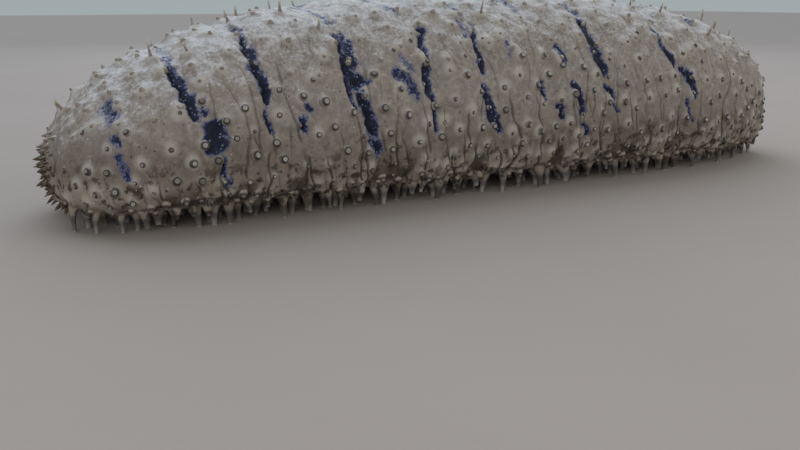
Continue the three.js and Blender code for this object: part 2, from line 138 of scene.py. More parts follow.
# The dark marks of the flank: a stroke is points of (distance from the mouth end in mm, degrees
# from the crest, half width in mm), and the strength of its pigment
MARKS = [
    ([(12.3, 36, 1.2), (13.0, 52, 1.6), (13.2, 58, 1.0)], 0.5),
    ([(12.9, 68, 0.5), (13.0, 76, 0.6)], 0.7),
    ([(13.3, 81, 0.7), (14.0, 91.5, 0.8)], 0.8),
    ([(26.6, 33, 0.7), (27.2, 41, 1.3), (27.6, 53, 1.4), (28.4, 68, 1.5), (29.0, 73, 1.0)], 0.95),
    ([(31.2, 64, 0.7), (31.0, 71, 0.9)], 0.75),
    ([(31.2, 80, 1.7), (32.7, 81, 2.2), (32.6, 90, 2.4)], 1.0),
    ([(33.4, 91.5, 0.4), (34.4, 97.5, 0.5), (35.3, 105.5, 0.4)], 0.9),
    ([(43.6, 25, 0.9), (43.3, 33, 0.7), (43.8, 46, 1.1),
      (44.3, 58, 1.3), (45.0, 69, 1.2), (45.5, 75, 0.5)], 0.95),
    ([(45.3, 76, 0.15), (44.4, 83, 0.4), (45.5, 89, 0.5)], 0.9),
    ([(53.7, 78, 0.8), (54.8, 81, 0.7)], 0.8),
    ([(52.6, 85, 0.9), (53.6, 90, 0.8)], 0.95),
    ([(65.6, 41, 0.6), (65.1, 50, 0.9), (65.4, 60, 1.1), (66.6, 68, 1.9), (67.2, 73, 1.6)], 1.0),
    ([(66.8, 69, 1.4), (69.0, 72, 1.1), (70.9, 73, 0.5)], 1.0),
    ([(66.6, 42, 1.1), (67.2, 52, 1.4), (67.6, 62, 1.5)], 0.72),
    ([(65.0, 70, 0.7), (65.6, 80, 0.5), (66.4, 84, 0.3)], 1.0),
    ([(68.0, 78, 1.0), (69.2, 84, 1.4), (70.4, 90.5, 1.5), (70.8, 91.5, 1.0)], 1.0),
    ([(70.0, 93.5, 0.8), (71.6, 96.5, 1.3), (72.4, 100, 0.7)], 0.9),
    ([(78.0, 68, 1.4), (80.4, 74, 1.6), (82.6, 81, 1.1)], 0.66),
    ([(80.0, 60, 1.0), (82.0, 68, 1.2)], 0.45),
    ([(88.3, 42, 0.6), (86.7, 60, 0.8), (86.0, 72, 1.3),
      (86.0, 80, 0.9), (86.6, 88, 0.6), (87.6, 92, 0.6)], 0.95),
    ([(102.9, 42, 0.7), (102.2, 52, 0.9), (102.3, 62, 1.0), (102.2, 71, 0.9)], 0.95),
    ([(99.9, 42, 1.3), (99.6, 50, 1.0)], 0.55),
    ([(101.9, 78, 0.6), (103.0, 84, 1.5), (104.8, 90.5, 1.6), (106.4, 93.5, 1.3)], 1.0),
    ([(110.4, 56, 0.5), (110.8, 63, 0.6)], 0.6),
    ([(127.0, 59, 0.9), (128.2, 68, 1.2)], 0.8),
    ([(119.9, 79, 0.5), (121.1, 87, 0.6)], 0.95),
    ([(130.8, 81, 0.9), (132.4, 87, 1.2), (133.8, 90.5, 0.9)], 1.0),
    ([(126.3, 90, 0.6), (127.4, 91.5, 0.5)], 0.9),
    ([(133.6, 94, 0.5), (135.6, 100, 0.6)], 0.95),
    ([(139.5, 41, 1.2), (139.2, 50, 2.0), (139.4, 60, 2.1), (140.8, 68, 1.8), (141.4, 75, 0.9)], 1.0),
    ([(141.4, 82, 0.5), (143.0, 85, 0.8), (144.4, 88, 0.4)], 0.95),
    ([(144.2, 90, 0.5), (145.8, 91, 0.5)], 0.9),
    ([(165.2, 24, 0.8), (166.8, 36, 0.9)], 0.6),
    ([(163.6, 46, 0.6), (164.4, 56, 1.0), (165.6, 64, 0.8)], 0.7),
    ([(165.6, 60, 0.9), (168.0, 70, 1.2)], 0.9),
    ([(170.9, 74, 0.7), (173.6, 80, 1.5), (176.2, 88, 1.2)], 0.95),
    ([(172.2, 90, 0.5), (175.6, 96, 0.4)], 0.85),
    ([(201.6, 43, 0.9), (202.6, 64, 0.8)], 0.5),
]
# Faint blue-grey clouds across the back
BACK_CLOUDS = [
    ([(62, 8, 1.6), (66, 30, 1.8)], 0.42),
    ([(80, 14, 1.8), (84, 30, 1.4)], 0.4),
    ([(44, 6, 1.2), (44, 20, 1.3)], 0.42),
    ([(27, 8, 1.2), (27, 28, 1.4)], 0.4),
    ([(102, 10, 1.6), (102, 34, 1.5)], 0.42),
    ([(122, 2, 1.5), (121, 30, 1.4)], 0.38),
    ([(140, 8, 1.5), (140, 34, 1.4)], 0.42),
    ([(186, 4, 1.5), (186, 30, 1.6)], 0.4),
]
# How far a mark of the far flank may lie from its fellow on the near one, in mm, degrees and mm
FAR_SHIFT_LEAST = (-6, -9, -0.3)
FAR_SHIFT_MOST = (6, 9, 0.4)
FAR_PIGMENT = (0.35, 1.05)
MARK_EDGE = 1.6 * MM  # the width over which a mark's edge fades
GROOVED_PIGMENT = 0.8  # only marks darker than this have a groove
CORE_SHARE = 0.22  # half width of the groove along a mark, as a share of the mark's own
CORE_LEAST = 0.22 * MM
CORE_WIDEST = 1.7 * MM  # a mark of more than this half width has no groove
CORE_SHIFT = 0.45  # how far that groove lies towards the mouth end, as a share of the half width

# Seeds of the random draws, one for each group of pieces and one for the far flank's marks
SEEDS = {"flank": 11, "back": 23, "walking": 37, "mouth": 41, "tentacles": 53, "vent": 67, "marks": 71}

# How deep the small pieces root in the skin, and how thick they are
FOOT_ROOT = 0.7 * MM
WALKING_ROOT = 1.2 * MM
PAPILLA_ROOT = 0.8 * MM
FOOT_RADIUS = 0.84 * MM
PAPILLA_RADIUS = 0.42 * MM
TIP_PAPILLA_RADIUS = 0.6 * MM
STEM_RADIUS = 0.55 * MM
FINGER_RADIUS = 0.27 * MM
FINGERS = 9  # round the tip of each tentacle

# The papillae at the two ends: their greatest length, the rings of the mouth as a number and a
# radius, and each group of the vent as a place along its arc and a share of the vent's radius
MOUTH_PAPILLA = 2.5 * MM
MOUTH_RINGS = [(22, 7.5 * MM), (24, 8.9 * MM), (22, 10.6 * MM)]
VENT_PAPILLA = 2.4 * MM
VENT_GROUP = [(-1, 1.35), (0, 1.3), (1, 1.35), (-0.6, 1.75), (0.6, 1.75)]
TIP_SEARCH = 16 * MM  # how far from an end its papillae root

# Profiles of the small pieces, as (share of the path, share of the radius) from the buried root
# to the tip. A flank foot is a short stub with a rolled rim and a shallow pore, and the mouth disc
# is a low dome that dips to the gullet in its middle.
FLANK_FOOT_PROFILE = [
    (0, 1.6), (0.36, 1.42), (0.5, 1.2), (0.64, 1.04), (0.8, 0.88), (0.93, 0.68), (1.0, 0.44), (0.98, 0.24),
    (0.92, 0.1),
]
WALKING_FOOT_PROFILE = [
    (0, 2.3), (0.2, 2.1), (0.34, 1.7), (0.46, 1.34), (0.6, 1.08), (0.74, 0.9), (0.86, 0.76), (0.92, 0.74),
    (0.965, 0.8), (0.99, 0.76), (1.0, 0.5),
]
THREAD_PROFILE = [
    (0, 1.4), (0.2, 1.1), (0.32, 0.82), (0.45, 0.68), (0.6, 0.6), (0.8, 0.52), (0.92, 0.44), (0.98, 0.3),
    (1.0, 0.12),
]
KNOB_PROFILE = [
    (0, 1.7), (0.3, 1.55), (0.46, 1.32), (0.6, 1.12), (0.74, 0.96), (0.86, 0.76), (0.95, 0.5), (1.0, 0.15),
]
MOUTH_PAPILLA_PROFILE = [
    (0, 1.3), (0.2, 1.2), (0.36, 1.0), (0.52, 0.78), (0.7, 0.52), (0.85, 0.32), (0.96, 0.16), (1.0, 0.06),
]
VENT_PAPILLA_PROFILE = [(0, 1.3), (0.25, 1.15), (0.5, 0.85), (0.75, 0.55), (0.93, 0.3), (1.0, 0.12)]
STEM_PROFILE = [(0, 1.2), (0.3, 1.0), (0.6, 0.85), (0.85, 1.0), (0.95, 1.15), (1.0, 0.8)]
FINGER_PROFILE = [(0, 1.0), (0.3, 1.0), (0.6, 0.95), (0.85, 0.85), (0.96, 0.6), (1.0, 0.3)]
DISC_PROFILE = [
    (0, 0.5), (0.3, 0.8), (0.6, 0.96), (0.82, 0.9), (0.95, 0.7), (1.0, 0.5), (0.96, 0.34), (0.8, 0.24),
    (0.5, 0.18), (0.3, 0.1),
]

# Radius of the patch that one small piece takes on the unwrap of the skin
PATCH = 0.0015

# The photograph's view, in the body's own frame
CAMERA_PLACE = Vector((-134.1, -212.0, 50.4)) * MM
CAMERA_TURN = math.radians(28.1)
CAMERA_DOWN = math.radians(14.7)
FOCAL_PIXELS = 858
IMAGE_WIDTH = 800
SENSOR_WIDTH = 36

FLOOR_REACH = 3.0
# Soft lamps: name, place and target in metres, width, power in watts and colour
LAMPS = [
    ("front_fill", (-0.5, -0.7, 0.17), (0, 0, 0.02), 0.7, 3.7, "fff6ea"),
    ("back_rim", (0.3, 0.6, 0.35), (0, 0, 0.03), 0.4, 0.9, "e6efff"),
    ("tail_fill", (0.6, -0.35, 0.25), (0.1, 0, 0.02), 0.4, 1.3, "fff4e2"),
]


def linear(hex_colour):
    """The linear colour of an sRGB hex value."""
    parts = [int(hex_colour[i:i + 2], 16) / 255 for i in (0, 2, 4)]
    return [p / 12.92 if p <= 0.04045 else ((p + 0.055) / 1.055) ** 2.4 for p in parts]


class BodySizes(bpy.types.PropertyGroup):
    """The main sizes of the body."""

    length: FloatProperty(
        name="Length", description="From the mouth end to the vent end",
        default=230 * MM, min=0.1, max=0.4, unit="LENGTH")
    crest: FloatProperty(
        name="Crest height", description="From the floor to the top of the back",
        default=51.5 * MM, min=0.02, max=0.1, unit="LENGTH")
    half_width: FloatProperty(
        name="Half width", description="From the middle to the side at the widest part",
        default=31 * MM, min=0.01, max=0.06, unit="LENGTH")
    sole: FloatProperty(
        name="Sole height", description="From the floor to the flesh of the sole",
        default=3 * MM, min=0.001, max=0.01, unit="LENGTH")
    furrow_depth: FloatProperty(
        name="Furrow depth", description="Depth of the broad furrows across the back",
        default=1.3 * MM, min=0, max=0.004, unit="LENGTH")
    crease_depth: FloatProperty(
        name="Crease depth", description="Depth of the fine creases that run round the body",
        default=0.32 * MM, min=0, max=0.002, unit="LENGTH")
    wart_height: FloatProperty(
        name="Wart height", description="How far the wart under each foot or papilla stands out",
        default=0.55 * MM, min=0, max=0.002, unit="LENGTH")


class CoatSizes(bpy.types.PropertyGroup):
    """The sizes of the feet and papillae."""

    flank_foot: FloatProperty(
        name="Flank foot height", description="Height of the blunt feet of the flanks",
        default=0.75 * MM, min=0, max=0.004, unit="LENGTH")
    flank_gap: FloatProperty(
        name="Flank foot spacing", description="Least spacing of the feet high on the flanks",
        default=4.5 * MM, min=0.002, max=0.02, unit="LENGTH")
    papilla: FloatProperty(
        name="Back papilla length", description="Length of the longest papillae of the back",
        default=4.4 * MM, min=0, max=0.01, unit="LENGTH")
    papilla_gap: FloatProperty(
        name="Back papilla spacing", description="Least spacing of the papillae of the back",
        default=5.2 * MM, min=0.002, max=0.03, unit="LENGTH")
    walking_gap: FloatProperty(
        name="Walking foot spacing", description="Least spacing of the walking feet of the sole",
        default=3.6 * MM, min=0.002, max=0.02, unit="LENGTH")
    tentacles: IntProperty(
        name="Tentacles", description="Number of tentacles round the mouth", default=20, min=8, max=30)


class SkinColours(bpy.types.PropertyGroup):
    """The colours of the animal."""

    wall: FloatVectorProperty(
        name="Body wall", description="Taupe-grey of the flanks",
        default=linear("827b77"), size=3, subtype="COLOR", min=0, max=1)
    # The back's pale grey is partly dust and partly painted light from above
    back: FloatVectorProperty(
        name="Back", description="Pale grey of the dusted back",
        default=linear("c0c2ca"), size=3, subtype="COLOR", min=0, max=1)
    belly: FloatVectorProperty(
        name="Sole", description="Pale beige of the sole",
        default=linear("8f8577"), size=3, subtype="COLOR", min=0, max=1)
    # The crease brown is painted shade in the creases, folds and valleys
    crease: FloatVectorProperty(
        name="Crease", description="Brown in the fine creases",
        default=linear("33291f"), size=3, subtype="COLOR", min=0, max=1)
    mark: FloatVectorProperty(
        name="Mark", description="Blue-black pigment of the dark marks",
        default=linear("101a40"), size=3, subtype="COLOR", min=0, max=1)
    fringe: FloatVectorProperty(
        name="Mark fringe", description="Blue-grey at the edges of the dark marks",
        default=linear("3f5180"), size=3, subtype="COLOR", min=0, max=1)
    tip: FloatVectorProperty(
        name="Foot tip", description="Pale tip of the feet",
        default=linear("989799"), size=3, subtype="COLOR", min=0, max=1)
    ring: FloatVectorProperty(
        name="Foot ring", description="Dark ring round the tip of each foot",
        default=linear("332c28"), size=3, subtype="COLOR", min=0, max=1)
    # The papillae's pale straw is partly their own colour and partly painted light shining through the thin
    # flesh
    papilla: FloatVectorProperty(
        name="Papilla", description="Pale straw of the papillae of the back",
        default=linear("c4bfae"), size=3, subtype="COLOR", min=0, max=1)
    mouth: FloatVectorProperty(
        name="Mouth", description="Brown of the mouth and its papillae",
        default=linear("4e4030"), size=3, subtype="COLOR", min=0, max=1)


# Shape of the body

def swell(reach, run, end):
    """The share of full size reached at a distance from a tip, along a rounded end."""
    left = 1 - np.clip(reach / run, 0, 1)
    return (1 - left ** end["fullness"]) ** (1 / end["bluntness"])


def section_at(distance):
    """The top, bottom and half width of the body at distances from the mouth end."""
    body = bpy.context.scene.sandfish_body
    lines = []
    for end, reach in ((MOUTH_END, distance), (VENT_END, body.length - distance)):
        tip = end["tip"]
        lines.append((
            tip + (body.crest - tip) * swell(reach, end["back"], end),
            tip - (tip - body.sole) * swell(reach, end["sole"], end),
            body.half_width * swell(reach, end["side"], end),
        ))
    front = distance < body.length / 2
    return [np.where(front, a, b) for a, b in zip(*lines)]


def furrow_at(distance, turn):
    """How deep the broad furrows cut, and how near the middle of one a place lies, from 0 to 1."""
    fade = np.maximum(0, 1 - (turn / FURROW_END) ** 4)
    lean = FURROW_LEAN * (np.abs(turn) / FURROW_END) ** 2
    off = np.min([np.abs(distance - place - lean) for place in FURROWS], axis=0)
    near = np.exp(-(off / FURROW_HALF_WIDTH) ** 2) * fade
    return bpy.context.scene.sandfish_body.furrow_depth * near, near


def signed_power(value, power):
    return np.sign(value) * np.abs(value) ** power


def ramp(value, low, high):
    """How far a value has come from one limit to another, from 0 to 1."""
    return np.clip((value - low) / (high - low), 0, 1)


def unit(vectors):
    """Vectors brought to a length of 1."""
    return vectors / np.maximum(np.linalg.norm(vectors, axis=-1, keepdims=True), 1e-12)


def body_point(distance, turn):
    """Points of the smooth body: distance from the mouth end, and turn from the crest towards -Y."""
    body = bpy.context.scene.sandfish_body
    top, bottom, half = section_at(distance)
    widest = bottom + (top - bottom) * WIDEST_SHARE
    side, rise = np.sin(turn), np.cos(turn)
    upper = (top - widest) * np.abs(rise) ** BACK_ROUNDNESS
    lower = -(widest - bottom) * np.abs(rise) ** SOLE_ROUNDNESS
    out = signed_power(side, np.where(rise > 0, SIDE_ROUNDNESS, SOLE_SIDE_ROUNDNESS))
    wrapped = np.arctan2(side, rise)
    kept = 1 - furrow_at(distance, wrapped)[0] / body.half_width
    return np.stack(np.broadcast_arrays(
        distance - body.length / 2,
        -half * kept * out,
        widest + np.where(rise > 0, upper * kept, lower),
    ), axis=-1)


def girth_table():
    """Turns round the middle of the body, and the length along its girth to each, from the crest."""
    body = bpy.context.scene.sandfish_body
    turns = np.linspace(-math.pi, math.pi, GIRTH_STEPS)
    ring = body_point(np.full(turns.shape, body.length / 2), turns)
    steps = np.linalg.norm(np.diff(ring, axis=0), axis=1)
    lengths = np.concatenate([[0], np.cumsum(steps)])
    return turns, lengths - lengths[-1] / 2


def body_normal(distance, turn):
    """The directions that the smooth body faces."""
    step, turn_step = 0.4 * MM, 0.02
    along = body_point(distance + step, turn) - body_point(distance - step, turn)
    around = body_point(distance, turn + turn_step) - body_point(distance, turn - turn_step)
    return unit(np.cross(around, along))


def noise(points, size, seed):
    """Smooth noise from -1 to 1 at points, its lumps about size across along each axis."""
    cells = 48
    lattice = np.random.RandomState(seed).uniform(-1, 1, (cells,) * 3)
    place = points / np.asarray(size) + cells / 2
    cell = np.floor(place).astype(int)
    part = place - cell
    part = part * part * (3 - 2 * part)
    total = 0
    for corner in itertools.product((0, 1), repeat=3):
        weight = np.prod(np.where(corner, part, 1 - part), axis=-1)
        index = (cell + corner) % cells
        total = total + weight * lattice[index[..., 0], index[..., 1], index[..., 2]]
    return total


def mark_strength(distance, turn):
    """How strongly the dark pigment covers places of the skin, and how near the groove along a mark is,
    which is darkened with painted shadow.
    """
    jitter = np.random.RandomState(SEEDS["marks"])
    table = girth_table()
    place = np.stack(np.broadcast_arrays(distance, np.interp(turn, *table)), axis=-1)
    strength, core = np.zeros(place.shape[:-1]), np.zeros(place.shape[:-1])
    flat = np.concatenate([place, np.zeros_like(place[..., :1])], axis=-1)
    # The edges wander, by less in the finer of two noises, along the body and round it
    ragged = []
    for seed in (91, 93):
        ragged.append(0.7 * MM * noise(flat, 3.2 * MM, seed) + 0.5 * MM * noise(flat, 1.2 * MM, seed + 1))
    place = place + np.stack(ragged, axis=-1)
    for points, force in MARKS + BACK_CLOUDS:
        for flank in (1, -1):
            # The far flank has marks of its own, much like those of the near one
            shift = np.array((0, 0, 0)) if flank > 0 else jitter.uniform(FAR_SHIFT_LEAST, FAR_SHIFT_MOST)
            stroke = np.add(points, shift)
            pigment = force * (1 if flank > 0 else jitter.uniform(*FAR_PIGMENT))
            girths = np.interp(flank * np.radians(stroke[:, 1]), *table)
            ends = np.stack([stroke[:, 0] * MM, girths], axis=-1)
            for a, b, start, end in zip(ends, ends[1:], stroke[:, 2], stroke[1:, 2]):
                share = np.clip(((place - a) @ (b - a)) / ((b - a) @ (b - a)), 0, 1)
                away = place - (a + share[..., None] * (b - a))
                half = (start + (end - start) * share) * MM
                gap = np.linalg.norm(away, axis=-1)
                strength = np.maximum(strength, pigment * np.clip(0.5 - (gap - half) / MARK_EDGE, 0, 1))
                if pigment > GROOVED_PIGMENT:
                    away[..., 0] += CORE_SHIFT * half
                    gap = np.linalg.norm(away, axis=-1)
                    groove = np.exp(-(gap / (CORE_SHARE * half + CORE_LEAST)) ** 2)
                    core = np.maximum(core, (half < CORE_WIDEST) * groove)
    return strength, core * np.clip(strength * 2, 0, 1)


# Places of the feet and papillae

def scatter(seed, tries, limits, gap_at):
    """Places on both flanks between two turns from the crest, in degrees, a least gap apart."""
    draw = np.random.RandomState(seed)
    body = bpy.context.scene.sandfish_body
    distances = draw.uniform(BARE_TIP, body.length - BARE_TIP, tries)
    turns = draw.uniform(*np.radians(limits), tries) * draw.choice((-1, 1), tries)
    points = body_point(distances, turns)
    gaps = gap_at(distances, np.abs(turns))
    kept = []
    for index, (point, gap) in enumerate(zip(points, gaps)):
        if not kept or np.min(np.linalg.norm(points[kept] - point, axis=1)) > gap:
            kept.append(index)
    return distances[kept], turns[kept]


def mouth_frame():
    """The middle of the mouth, its axis out of the body, and the two directions across it."""
    body = bpy.context.scene.sandfish_body
    centre = np.array((MOUTH["distance"] - body.length / 2, 0, MOUTH["height"]))
    axis = np.array((-math.cos(MOUTH["down"]), 0, -math.sin(MOUTH["down"])))
    side = np.array((0.0, 1.0, 0.0))
    return centre, axis, side, np.cross(side, axis)


def from_mouth(points):
    """How far points lie from the axis of the mouth."""
    centre, axis, _, _ = mouth_frame()
    away = points - centre
    return np.linalg.norm(away - (away @ axis)[..., None] * axis, axis=-1)


def flank_places():
    """Places of the blunt feet, closer and smaller low on the flank."""
    coat = bpy.context.scene.sandfish_coat

    def gap(distance, turn):
        return coat.flank_gap * (1.08 - 0.42 * ramp(np.degrees(turn), *CROWDED_TURNS))

    distances, turns = scatter(SEEDS["flank"], 12000, FLANK_TURNS, gap)
    chance = ramp(np.degrees(np.abs(turns)), *THINNED_TURNS)
    keep = from_mouth(body_point(distances, turns)) > MOUTH_ROOM["flank"]
    keep &= np.random.RandomState(SEEDS["flank"] + 2).uniform(0, 1, len(turns)) < chance
    return distances[keep], turns[keep]


def back_places():
    """Places of the papillae of the back and upper flank."""
    coat = bpy.context.scene.sandfish_coat
    distances, turns = scatter(
        SEEDS["back"], 5200, BACK_TURNS, lambda d, t: np.full(d.shape, coat.papilla_gap))
    keep = from_mouth(body_point(distances, turns)) > MOUTH_ROOM["back"]
    return distances[keep], turns[keep]


def walking_places():
    """Places of the walking feet, from the lower edge of the flanks to the middle of the sole."""
    coat = bpy.context.scene.sandfish_coat
    distances, turns = scatter(
        SEEDS["walking"], 9000, WALKING_TURNS, lambda d, t: np.full(d.shape, coat.walking_gap))
    keep = from_mouth(body_point(distances, turns)) > MOUTH_ROOM["walking"]
    return distances[keep], turns[keep]


# The skin as a grid

class SkinGrid:
    """The finished skin: stations along the body by points around it."""

    def __init__(self):
        body = bpy.context.scene.sandfish_body
        share = np.linspace(0, 1, STATIONS + 2)[1:-1]
        self.distances = body.length * (1 - np.cos(math.pi * share)) / 2
        turns, lengths = girth_table()
        self.turns = np.interp(np.linspace(lengths[0], lengths[-1], AROUND, endpoint=False), lengths, turns)
        distance, turn = np.meshgrid(self.distances, self.turns, indexing="ij")
        smooth = body_point(distance, turn)
        self.normals = body_normal(distance, turn)
        self.mark, self.core = mark_strength(distance, turn)
        self.wart = np.zeros(distance.shape)
        height = self.relief(smooth, distance, turn)
        placers = {"flank": flank_places, "back": back_places, "walking": walking_places}
        for name, (radius, share) in WARTS.items():
            height += self.warts(smooth, *placers[name](), radius, body.wart_height * share)
        points = smooth + self.normals * height[..., None]
        self.hollow = np.zeros(distance.shape)
        points = self.open_mouth(points)
        self.points = self.open_vent(points)

    def relief(self, smooth, distance, turn):
        """Height of the lumps, folds, creases and marks over the smooth body."""
        body = bpy.context.scene.sandfish_body
        lumps = sum(height * noise(smooth, size, seed) for height, size, seed in LUMPS)
        pebbles = sum(height * noise(smooth, size, seed) for height, size, seed in PEBBLES)
        degrees = np.degrees(np.abs(turn))
        pebbles *= 1 + BACK_PEBBLES * ramp(degrees, BACK_TURNS[1], 0)
        flat = degrees > SOLE_TURN
        low = ramp(degrees, *LOW_TURNS)
        lean = FURROW_LEAN * (turn / FURROW_END) ** 2
        self.crease, pleats = np.zeros(distance.shape), np.zeros(distance.shape)
        for pitch, sway, lump, width, force, whole, lower, seed in CREASES:
            bent = distance - lean + sway * noise(smooth, lump, seed)
            bent += CREASE_WOBBLE * noise(smooth, CREASE_WOBBLE_SIZE, seed + 3)
            off = np.abs((bent / pitch + 0.5) % 1 - 0.5) * pitch
            patches = noise(smooth, CREASE_BREAKS, seed + 1)
            broken = np.clip(whole + 2.4 * patches + lower * low, 0, 1)
            thick = width * (1 + 0.6 * noise(smooth, CREASE_SWELLS, seed + 2))
            line = force * np.exp(-(off / thick) ** 2) * broken
            self.crease = np.maximum(self.crease, line)
            pleats += force * (np.sqrt(np.clip(2 * off / pitch, 0, 1)) - 1) * broken * pitch
        # Creases are faint on the back and the sole, and near the mouth
        self.crease *= np.where(flat, 0.3, 0.24 + 0.34 * ramp(degrees, 0, 60) + 0.42 * low)
        self.crease *= np.clip((distance - 9 * MM) / (14 * MM), 0.15, 1)
        fold = noise(smooth, COLUMN_SIZE, COLUMN_SEED) * np.where(flat, 0.3, 0.25 + 0.75 * low)
        columns = COLUMN_HEIGHT * fold
        # Painted shade: the valleys between the folds take the crease brown, low on the flank
        valley = VALLEY * np.clip(-fold * 3.5, 0, 1) * ramp(degrees, *VALLEY_TURNS)
        self.crease = np.maximum(self.crease, valley)
        # A furrow that carries a mark has a sharp crease along its middle
        near = furrow_at(distance, turn)[1]
        sharp = ramp(near, 0.86, 1) ** 2
        dips = body.crease_depth * (self.crease + 1.3 * sharp * np.clip(self.mark * 2 + 0.1, 0, 1))
        marks = (0.3 * self.mark + 0.75 * self.core) * MM * (degrees > 30)
        folds = PLEAT_DEPTH * pleats * np.where(flat, 0.2, 0.3 + 0.7 * low)
        return (lumps + pebbles) * np.where(flat, 0.5, 1) + columns + folds - dips - marks

    def warts(self, smooth, distances, turns, radius, height):
        """Raised warts of uneven size round the roots of feet and papillae."""
        raised = np.zeros(self.wart.shape)
        reach = WART_REACH * radius
        growth = np.random.RandomState(len(turns)).uniform(0.45, 1, len(turns))
        for distance, turn, grown in zip(distances, turns, growth):
            root = body_point(distance, turn)
            low, high = np.searchsorted(self.distances, (distance - reach, distance + reach))
            rows = slice(low, high)
            gap = np.linalg.norm(smooth[rows] - root, axis=-1)
            bump = grown * np.exp(-(gap / (radius * (0.6 + 0.4 * grown))) ** 2)
            raised[rows] = np.maximum(raised[rows], bump)
        self.wart = np.maximum(self.wart, raised)
        return height * raised

    def open_mouth(self, points):
        """Sinks the hollow of the mouth and puckers the lip round it."""
        centre, axis, side, up = mouth_frame()
        away = points - centre
        along = away @ axis
        across = away - along[..., None] * axis
        radius = np.linalg.norm(across, axis=-1)
        angle = np.arctan2(across @ up, across @ side)
        size = MOUTH["radius"]
        front = points[..., 0] < centre[0] + TIP_LENGTH
        off, width, height = MOUTH_LIP
        lip = np.exp(-((radius - size - off) / width) ** 2) * front
        pleats = 0.5 + 0.5 * np.cos(angle * MOUTH_PLEATS)
        wavy = radius + 0.7 * MM * noise(points, 6 * MM, 5)
        broken = np.clip(0.55 + 0.9 * noise(points, 5 * MM, 6), 0, 1)
        off, width, depth = MOUTH_FOLD
        fold = np.exp(-((wavy - size - off) / width) ** 2) * front * broken
        points = points + axis * (lip * (height + MOUTH_PLEAT_HEIGHT * pleats))[..., None]
        points = points - axis * (fold * depth)[..., None]
        inside = (radius < size) & front
        depth = -np.sqrt(np.maximum(size ** 2 - radius ** 2, 0))
        sunk = centre + across + axis * depth[..., None]
        self.hollow = np.clip(1 - (radius - size) / MOUTH_SHADE, 0, 1) * front
        # Painted shade darkens the ragged fold round the mouth
        self.crease = np.maximum(self.crease, 0.7 * fold)
        return np.where(inside[..., None], sunk, points)

    def open_vent(self, points):
        """Sinks the pit of the vent, with radial folds."""
        body = bpy.context.scene.sandfish_body
        across = points - np.array((0, 0, VENT["height"]))
        radius = np.hypot(across[..., 1], across[..., 2])
        angle = np.arctan2(across[..., 2], across[..., 1])
        rear = points[..., 0] > body.length / 2 - TIP_LENGTH
        inner = np.clip(1 - radius / VENT["radius"], 0, 1) * rear
        folds, lip = [
            height * np.exp(-((radius - VENT["radius"] - off) / width) ** 2) * rear
            for off, width, height in (VENT_FOLDS, VENT_LIP)]
        folds = folds * np.cos(angle * VENT_FOLD_COUNT)
        depth = VENT["depth"] * inner ** 0.7
        self.hollow = np.maximum(self.hollow, np.clip(inner * 3, 0, 1) * 0.8)
        return points + (folds + lip - depth)[..., None] * np.array((1, 0, 0))

    def root(self, distances, turns):
        """The nearest points of the finished skin, and the directions it faces there."""
        rows = np.clip(np.searchsorted(self.distances, distances), 0, STATIONS - 1)
        columns = np.searchsorted(self.turns, turns) % AROUND
        return self.points[rows, columns], self.normals[rows, columns]


# Meshes

def new_object(name, points, faces, material, uvs=None, values=None):
    """A smooth-shaded mesh object that rides on the body."""
    mesh = bpy.data.meshes.new(name)
    mesh.from_pydata(points, [], faces)
    for label, value in (values or {}).items():
        field = mesh.attributes.new(label, "FLOAT", "POINT")
        field.data.foreach_set("value", np.ravel(value).astype(np.float32))
    if uvs is not None:
        layer = mesh.uv_layers.new(name="OFBake")
        layer.data.foreach_set("uv", np.ravel(uvs).astype(np.float32))
    mesh.polygons.foreach_set("use_smooth", np.ones(len(mesh.polygons), bool))
    mesh.materials.append(material)
    mesh.validate()
    piece = bpy.data.objects.new(name, mesh)
    bpy.context.scene.collection.objects.link(piece)
    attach(piece, "root")
    return piece


def build_skin_mesh(grid):
    """Points, faces, bake places and values of the closed skin."""
    body = bpy.context.scene.sandfish_body
    rows, columns = grid.points.shape[:2]
    front = grid.points[0].mean(axis=0)
    rear = grid.points[-1].mean(axis=0)
    points = np.concatenate([grid.points.reshape(-1, 3), [front, rear]])
    row, column = np.meshgrid(np.arange(rows - 1), np.arange(columns), indexing="ij")
    right = (column + 1) % columns
    quads = np.stack([row * columns + column, row * columns + right,
                      (row + 1) * columns + right, (row + 1) * columns + column], axis=-1).reshape(-1, 4)
    share = grid.distances / body.length
    low, high = column / columns, (column + 1) / columns
    quad_uvs = np.stack([np.stack([share[row], low], -1), np.stack([share[row], high], -1),
                         np.stack([share[row + 1], high], -1), np.stack([share[row + 1], low], -1)], axis=-2)
    ring = np.arange(columns)
    after = (ring + 1) % columns
    front_fan = np.stack([np.full(columns, rows * columns), after, ring], axis=-1)
    last = (rows - 1) * columns
    rear_fan = np.stack([np.full(columns, rows * columns + 1), last + ring, last + after], axis=-1)
    start, stop = share[0], share[-1]
    fan_uvs = []
    for tip, edge, first, second in ((0.0, start, ring + 1, ring), (1.0, stop, ring, ring + 1)):
        fan_uvs.append(np.stack([
            np.stack([np.full(columns, tip), (ring + 0.5) / columns], -1),
            np.stack([np.full(columns, edge), first / columns], -1),
            np.stack([np.full(columns, edge), second / columns], -1)], axis=-2))
    faces = quads.tolist() + front_fan.tolist() + rear_fan.tolist()
    uvs = np.concatenate([quad_uvs.reshape(-1, 2), fan_uvs[0].reshape(-1, 2), fan_uvs[1].reshape(-1, 2)])
    ends = lambda field: np.concatenate([field.ravel(), [field[0].mean(), field[-1].mean()]])
    values = {"mark": ends(grid.mark), "core": ends(grid.core), "wart": ends(grid.wart),
              "crease": ends(grid.crease), "hollow": ends(grid.hollow)}
    return points, faces, uvs, values


